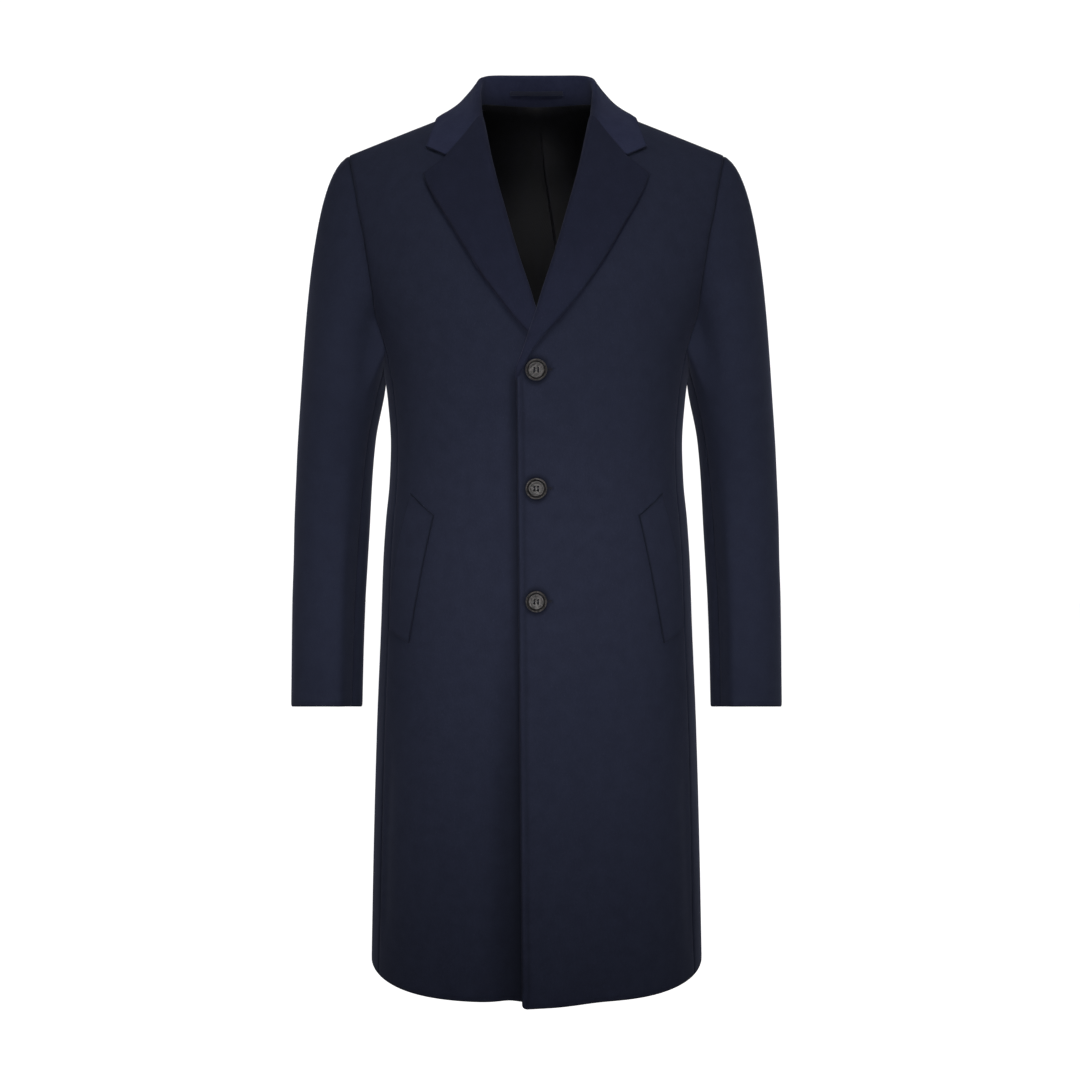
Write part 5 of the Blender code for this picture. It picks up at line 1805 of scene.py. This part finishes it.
@dataclass(frozen=True)
class HangerLoop:
    """A narrow tape across the inside of the stand, sewn at its ends and bowed off it between them."""

    tailor: Tailor
    collar: Collar
    half_length: float = 0.0330
    height: float = 0.0348
    width: float = 0.0050
    thickness: float = 0.0014
    parting: float = 0.0016
    bow: float = 0.0014
    arch: float = 0.0022
    around: int = 24

    def build(self) -> None:
        """Runs a rounded flat band along the stand: its section is a superellipse."""
        share = np.linspace(-1, 1, 61)
        reach = self.half_length / self.collar.stations[2][1] * self.collar.stations[2][0]
        ends = (np.array([1.0]), np.array([0.0, 0.999]), np.array([180.0]))
        sections = np.array([self.collar.section(abs(a) * reach, *ends) for a in share])
        sections[:, :, 0] *= np.where(share < 0, -1, 1)[:, None]
        up = unit(sections[:, 1] - sections[:, 0])
        height = self.height - self.arch * share**2
        centre = sections[:, 0] + up * ((height - sections[:, 0, 2]) / up[:, 2])[:, None]
        along = unit(np.gradient(centre, axis=0))
        inward = unit(np.cross(along, up))
        inward *= np.where(inward[:, 1:2] > 0, -1.0, 1.0)
        off = self.collar.wall.thickness / 2 + self.parting + self.thickness / 2 + self.bow * (1 - share**4)
        centre = centre + inward * off[:, None]
        turn = round_angles(self.around)
        across = np.sign(np.cos(turn)) * np.abs(np.cos(turn)) ** 0.5 * self.width / 2
        deep = np.sign(np.sin(turn)) * np.abs(np.sin(turn)) ** 0.5 * self.thickness / 2
        size = np.where(np.abs(share) == 1, 0.02, 1.0)[:, None, None]
        ring = up[:, None] * across[:, None] + inward[:, None] * deep[:, None]
        piece = tube("hanger_loop_tape", centre[:, None] + ring * size, [self.tailor.finishes.tape])
        put_values(piece, "across", np.broadcast_to(across, (len(share), self.around)).ravel())
        length = float(lengths(centre[None], 1)[0, -1])
        lay(piece, ("hanger_loop",))


# ---- buttons


@dataclass(frozen=True)
class Buttons:
    """Three turned horn buttons with four thread holes, each sewn on a wound thread shank."""

    tailor: Tailor
    profile: tuple = (
        # radius, height above the cloth: from the middle of the face out and round the back
        (0.0000, 0.0038),
        (0.0030, 0.0038),
        (0.0056, 0.0040),
        (0.0078, 0.0045),
        (0.0086, 0.0043),
        (0.0092, 0.0033),
        (0.0097, 0.0031),
        (0.0103, 0.0047),
        (0.0109, 0.0053),
        (0.0115, 0.0051),
        (0.0120, 0.0045),
        (0.0122, 0.0038),
        (0.0119, 0.0030),
        (0.0112, 0.0022),
        (0.0080, 0.0017),
        (0.0000, 0.0016),
    )
    seat: float = 0.0003
    groove_radius: float = 0.0096
    hole_spread: float = 0.0021
    hole_radius: float = 0.00110
    hole_depth: float = 0.0013
    thread: float = 0.00052
    arch: float = 0.0043
    shank: float = 0.0018

    def frame(self, height: float) -> tuple[Array, Array]:
        """Where a button sits.

        Args:
            height: Its height on the front edge.
        Returns:
            Its foot, and its own ways across, up and out.
        """
        seat, out = self.tailor.body.raised(np.array(0.0), np.array(height), self.seat, True)
        across = unit(np.cross([0, 0, 1.0], out))
        return seat, np.array([across, np.cross(out, across), out])

    def disc(self, name: str, seat: Array, ways: Array, turn: float) -> Piece:
        """The horn: its profile, smoothed and turned round the axis, sunk by a steep well at each thread hole.

        Args:
            name: The piece's name.
            seat: The button's foot.
            ways: Its own axes.
            turn: How far the streaks are turned, so that no two buttons match.
        Returns:
            The disc.
        """
        table = np.array(self.profile)
        run = np.insert(np.hypot(*np.diff(table, axis=0).T).cumsum(), 0, 0)
        at = np.concatenate([np.linspace(0, 0.0036, 28)[1:], np.linspace(0.0038, run[-1], 64)[:-1]])
        radius, high = smooth(run, table, at).T
        angle = round_angles(120)
        x, y = radius[:, None] * np.cos(angle), radius[:, None] * np.sin(angle)
        far = np.hypot(np.abs(x) - self.hole_spread, np.abs(y) - self.hole_spread)
        face = (at < 0.006)[:, None]
        well = ease((self.hole_radius - far) / 0.00028) * face
        rim = 0.00012 * bell(far - self.hole_radius * 1.25, 0.0003) * face
        z = high[:, None] - self.hole_depth * well + rim
        # painted shade in the ring groove, stored with the thread holes' painted shade as the well value
        groove = bell(radius - self.groove_radius, 0.0009) * (high > 0.003)
        local = np.stack([x, y, z], axis=-1)
        piece = tube(name, seat + local @ ways, [self.tailor.finishes.horn])
        cos, sin = math.cos(turn), math.sin(turn)
        spot = np.stack([x * cos - y * sin, x * sin + y * cos, z + turn], axis=-1)
        put_values(piece, "spot", spot.reshape(-1, 3))
        put_values(piece, "well", np.maximum(well, 0.8 * groove[:, None]).ravel())
        return piece

    def bars(self, name: str, seat: Array, ways: Array) -> None:
        """Two bars of thread, each a low arch from one hole to the next.

        Args:
            name: The first bar's name.
            seat: The button's foot.
            ways: Its own axes.
        """
        share = np.linspace(-1, 1, 21)
        path = np.stack([share * 0, share * self.hole_spread, self.arch - 0.0016 * np.abs(share) ** 6], axis=-1)
        turn = round_angles(12)
        ring = self.thread * np.stack([np.cos(turn) * 1.35, np.sin(turn) * 0, np.sin(turn)], axis=-1)
        rings = path[:, None] + ring * np.where(np.abs(share) < 1, 1.0, 0.3)[:, None, None]
        for ending, across in (("", -self.hole_spread), ("_2", self.hole_spread)):
            piece = tube(name + ending, seat + (rings + [across, 0, 0]) @ ways, [self.tailor.finishes.thread])
            put_values(piece, "run", np.repeat(path[:, 1] + 0.01, len(turn)))
            lay(piece, ())

    def stem(self, name: str, seat: Array, ways: Array) -> None:
        """The shank under the button: a stub whose surface is the turns of thread wound round it.

        Args:
            name: The piece's name.
            seat: The button's foot.
            ways: Its own axes.
        """
        z = np.linspace(-0.0004, 0.0021, 46)
        radius = (self.shank + 0.00016 * np.sin(z * 2 * np.pi / 0.00042))[:, None]
        turn = round_angles(32)
        high = np.repeat(z[:, None], len(turn), axis=1)
        local = np.stack([radius * np.cos(turn), radius * np.sin(turn), high], axis=-1)
        piece = tube(name, seat + local @ ways, [self.tailor.finishes.thread])
        put_values(piece, "run", np.repeat(z, len(turn)))
        lay(piece, ())

    def build(self) -> None:
        """Sews on the three buttons."""
        for number, height in enumerate(BUTTON_HEIGHTS, 1):
            seat, ways = self.frame(height)
            disc = self.disc(f"button_{number}_horn", seat, ways, 0.9 * number)
            lay(disc, (f"button_{number}",))
            self.bars(f"button_{number}_thread", seat, ways)
            self.stem(f"button_{number}_shank", seat, ways)


@dataclass(frozen=True)
class Buttonholes:
    """Worked holes in the outer front: a ring of close purl stitches round each."""

    tailor: Tailor
    inner_x: float = -0.0030
    outer_x: float = 0.0172
    half_height: float = 0.0008
    rise: float = 0.00030
    stitch: float = 0.0011  # a real stitch is 0.5 mm along; drawn wider

    def build(self) -> None:
        """Carries a purl round a stadium; the thread swells and slants once for each stitch."""
        body = self.tailor.body
        straight = self.outer_x - self.inner_x - 2 * self.half_height
        length = 2 * straight + 2 * np.pi * self.half_height
        run = np.linspace(0, length, 241)[:-1]
        low, end = straight, straight + np.pi * self.half_height
        turn = np.where(run < low, 0.0, np.clip((run - low) / self.half_height, 0, np.pi))
        back = np.clip((run - end - straight) / self.half_height, 0, np.pi)
        x = np.where(run < end, np.minimum(run, straight), np.maximum(straight - (run - end), 0))
        x = x + self.half_height * (np.sin(turn) * (run < end) - np.sin(back))
        z = -self.half_height * np.cos(turn + back)
        x = x + self.inner_x + self.half_height
        swell = 1 + 0.28 * np.cos(run * 2 * np.pi / self.stitch)
        angle = round_angles(12)
        way = unit(np.stack([np.gradient(z), -np.gradient(x)], axis=-1))
        for number, height in enumerate(BUTTON_HEIGHTS, 1):
            wide = (0.0007 * np.cos(angle))[None, :] * swell[:, None]
            px, pz = x[:, None] + way[:, :1] * wide, height + z[:, None] + way[:, 1:] * wide
            high = self.rise * np.sin(angle)[None, :] * swell[:, None] + 0.0001
            points, _ = body.raised(px, pz, high, True)
            piece = tube(f"buttonhole_{number}_purl", points, [self.tailor.finishes.thread], closed=True)
            put_values(piece, "run", np.repeat(run, len(angle)))
            lay(piece, ())


# ---- studio


@dataclass(frozen=True)
class Light:
    """A soft rectangular lamp: place, aim, width and height, power in watts, and spread in degrees."""

    name: str
    place: tuple[float, float, float]
    aim: tuple[float, float, float]
    size: tuple[float, float]
    power: float
    spread: float = 180.0

    def build(self) -> None:
        """Hangs the lamp."""
        data = bpy.data.lights.new(self.name, "AREA")
        data.shape = "RECTANGLE"
        data.size, data.size_y = self.size
        data.energy = self.power
        data.spread = math.radians(self.spread)
        lamp = put_object(self.name, data)
        lamp.location = self.place
        lamp.rotation_euler = facing(self.place, self.aim)


def facing(place: tuple[float, float, float], aim: tuple[float, float, float]) -> tuple[float, float, float]:
    """Rotation that points a lamp's or a camera's own -Z from one place at another, with its top up."""
    x, y, z = np.array(aim) - np.array(place)
    return math.pi / 2 + math.atan2(z, math.hypot(x, y)), 0.0, math.atan2(-x, y)


@dataclass(frozen=True)
class Studio:
    """White paper all round, soft lamps in front and above, and the camera."""

    eye: tuple[float, float, float] = (0.0042, -2.2, -0.215)
    pitch: float = 7.46
    focal_pixels: float = 1833.0
    frame_pixels: float = 1080.0
    floor_z: float = -1.240
    ambient: float = 0.100
    white: float = 1.1
    sensor_mm: float = 36.0
    floor_reach: float = 4.0
    lights: tuple = (
        Light("front_lamp", (0.0, -2.3, -0.50), (0.0, 0.0, -0.50), (1.1, 0.35), 1.96, 38.0),
        Light("high_lamp", (0.15, -1.5, 1.35), (0.0, 0.0, -0.45), (0.6, 0.35), 4.0, 90.0),
        Light("top_lamp", (0.0, -0.1, 1.7), (0.0, 0.0, 0.0), (1.8, 1.8), 3.0),
        Light("left_lamp", (2.3, 0.35, -0.1), (0.0, 0.0, -0.45), (0.8, 2.0), 5.0),
        Light("right_lamp", (-2.3, 0.35, -0.1), (0.0, 0.0, -0.45), (0.8, 2.0), 5.2),
        Light("back_lamp", (0.0, 2.4, 1.2), (0.0, 0.0, -0.4), (2.4, 1.6), 5.0),
    )

    def build(self) -> None:
        """Lays the floor, hangs the lamps, and sets up the camera and the even white round them."""
        line = np.linspace(-self.floor_reach, self.floor_reach, 33)
        x, y = np.meshgrid(line, line)
        points = np.stack([x, y, np.full_like(x, self.floor_z)], axis=-1).reshape(-1, 3)
        floor = put_mesh("studio_floor", points, grid_quads(*x.shape), [PaperFinish().build()])
        floor.visible_diffuse = floor.visible_glossy = False
        for light in self.lights:
            light.build()
        world = bpy.data.worlds.new("white_room")
        world.use_nodes = True
        tree, background = world.node_tree, world.node_tree.nodes["Background"]
        seen = add_node(tree, "ShaderNodeLightPath", {}).outputs["Is Camera Ray"]
        strength = ranged(tree, seen, To_Min=self.ambient, To_Max=self.white)
        tree.links.new(strength, background.inputs["Strength"])
        background.inputs["Color"].default_value = (1, 1, 1, 1)
        bpy.context.scene.world = world
        bpy.context.scene.view_settings.view_transform = "Standard"
        data = bpy.data.cameras.new("camera")
        data.sensor_width = self.sensor_mm
        data.lens = self.focal_pixels / self.frame_pixels * self.sensor_mm
        camera = put_object("camera", data)
        camera.location = self.eye
        camera.rotation_euler = (math.radians(90.0 - self.pitch), 0.0, 0.0)
        bpy.context.scene.camera = camera


# ---- the whole coat


BODY_DEGREE = 0.0030
SLEEVE_DEGREE = 0.00095
BODY_DRAPES = {
    Side.LEFT: Drape(
        BODY_DEGREE,
        (
            Crease((-6.0, -0.50), (-6.0, -1.25), 0.012, 0.0028, 0.000, 1.0, (0.35, 0.02)),
            Crease((62.0, -0.70), (66.0, -1.02), 0.012, -0.0022, 0.002, 1.4, (0.4, 0.25)),
            Crease((150.0, -0.62), (154.0, -1.12), 0.022, -0.0040, 0.004, 1.3, (0.5, 0.1)),
            Crease((112.0, -0.48), (118.0, -1.10), 0.030, -0.0030, -0.005, 1.2, (0.5, 0.1)),
            Crease((128.0, -0.24), (100.0, -0.42), 0.016, -0.0028, 0.004, 1.0, (0.5, 0.5)),
        ),
    ),
    Side.RIGHT: Drape(
        BODY_DEGREE,
        (
            Crease((6.5, -0.24), (7.2, -1.16), 0.009, -0.0034, 0.000, 1.0, (0.12, 0.05)),
            Crease((7.4, -0.52), (8.6, -1.12), 0.015, -0.0085, 0.000, 1.3, (0.50, 0.30)),
            Crease((61.0, -0.69), (63.0, -1.00), 0.011, -0.0025, -0.002, 1.4, (0.4, 0.25)),
            Crease((146.0, -0.66), (150.0, -1.12), 0.020, -0.0034, -0.004, 1.3, (0.5, 0.1)),
            Crease((114.0, -0.52), (121.0, -1.10), 0.026, -0.0033, 0.006, 1.2, (0.5, 0.1)),
            Crease((131.0, -0.25), (104.0, -0.40), 0.015, -0.0024, -0.003, 1.0, (0.5, 0.5)),
        ),
    ),
}
SLEEVE_DRAPES = {
    Side.LEFT: Drape(
        SLEEVE_DEGREE,
        (
            Crease((117.0, -0.38), (119.0, -0.78), 0.010, 0.0024, 0.001, 1.0, (0.4, 0.05)),
            Crease((147.0, -0.34), (150.0, -0.78), 0.017, -0.0046, 0.002, 1.0, (0.4, 0.05)),
            Crease((205.0, -0.36), (262.0, -0.47), 0.012, -0.0028, 0.002, 1.2, (0.5, 0.5)),
            Crease((60.0, -0.47), (150.0, -0.43), 0.010, -0.0012, 0.003, 1.0, (0.5, 0.5)),
            Crease((300.0, -0.30), (284.0, -0.55), 0.018, -0.0020, -0.003, 1.3, (0.5, 0.5)),
        ),
    ),
    Side.RIGHT: Drape(
        SLEEVE_DEGREE,
        (
            Crease((116.0, -0.40), (119.0, -0.78), 0.010, 0.0026, 0.001, 1.0, (0.4, 0.05)),
            Crease((146.0, -0.35), (151.0, -0.78), 0.018, -0.0048, 0.001, 1.0, (0.4, 0.05)),
            Crease((210.0, -0.38), (258.0, -0.49), 0.013, -0.0026, -0.002, 1.2, (0.5, 0.5)),
            Crease((70.0, -0.49), (145.0, -0.44), 0.010, -0.0010, 0.002, 1.0, (0.5, 0.5)),
            Crease((304.0, -0.28), (290.0, -0.50), 0.018, -0.0018, 0.003, 1.3, (0.5, 0.5)),
        ),
    ),
}


def main() -> None:
    """Builds the studio, then each part of the coat."""
    logging.basicConfig(level=logging.INFO, format="%(message)s")
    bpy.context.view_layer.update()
    Studio().build()
    wall = Wall(sunk=0.0008)
    body = BodyForm()
    armhole = Armhole(body)
    tailor = Tailor(body, armhole, SleeveForm(armhole, wall), wall, Finishes(), BODY_DRAPES)
    lapels = Lapels(tailor)
    collar = Collar(tailor, lapels)
    pieces = (
        Fronts(tailor),
        Backs(tailor),
        Sleeves(tailor, SLEEVE_DRAPES),
        lapels,
        collar,
        BackLining(tailor),
        PocketWelts(tailor),
        HangerLoop(tailor, collar),
        Buttons(tailor),
        Buttonholes(tailor),
    )
    for piece in pieces:
        piece.build()
        LOG.info("built %s", type(piece).__name__)


if __name__ == "__main__":
    main()
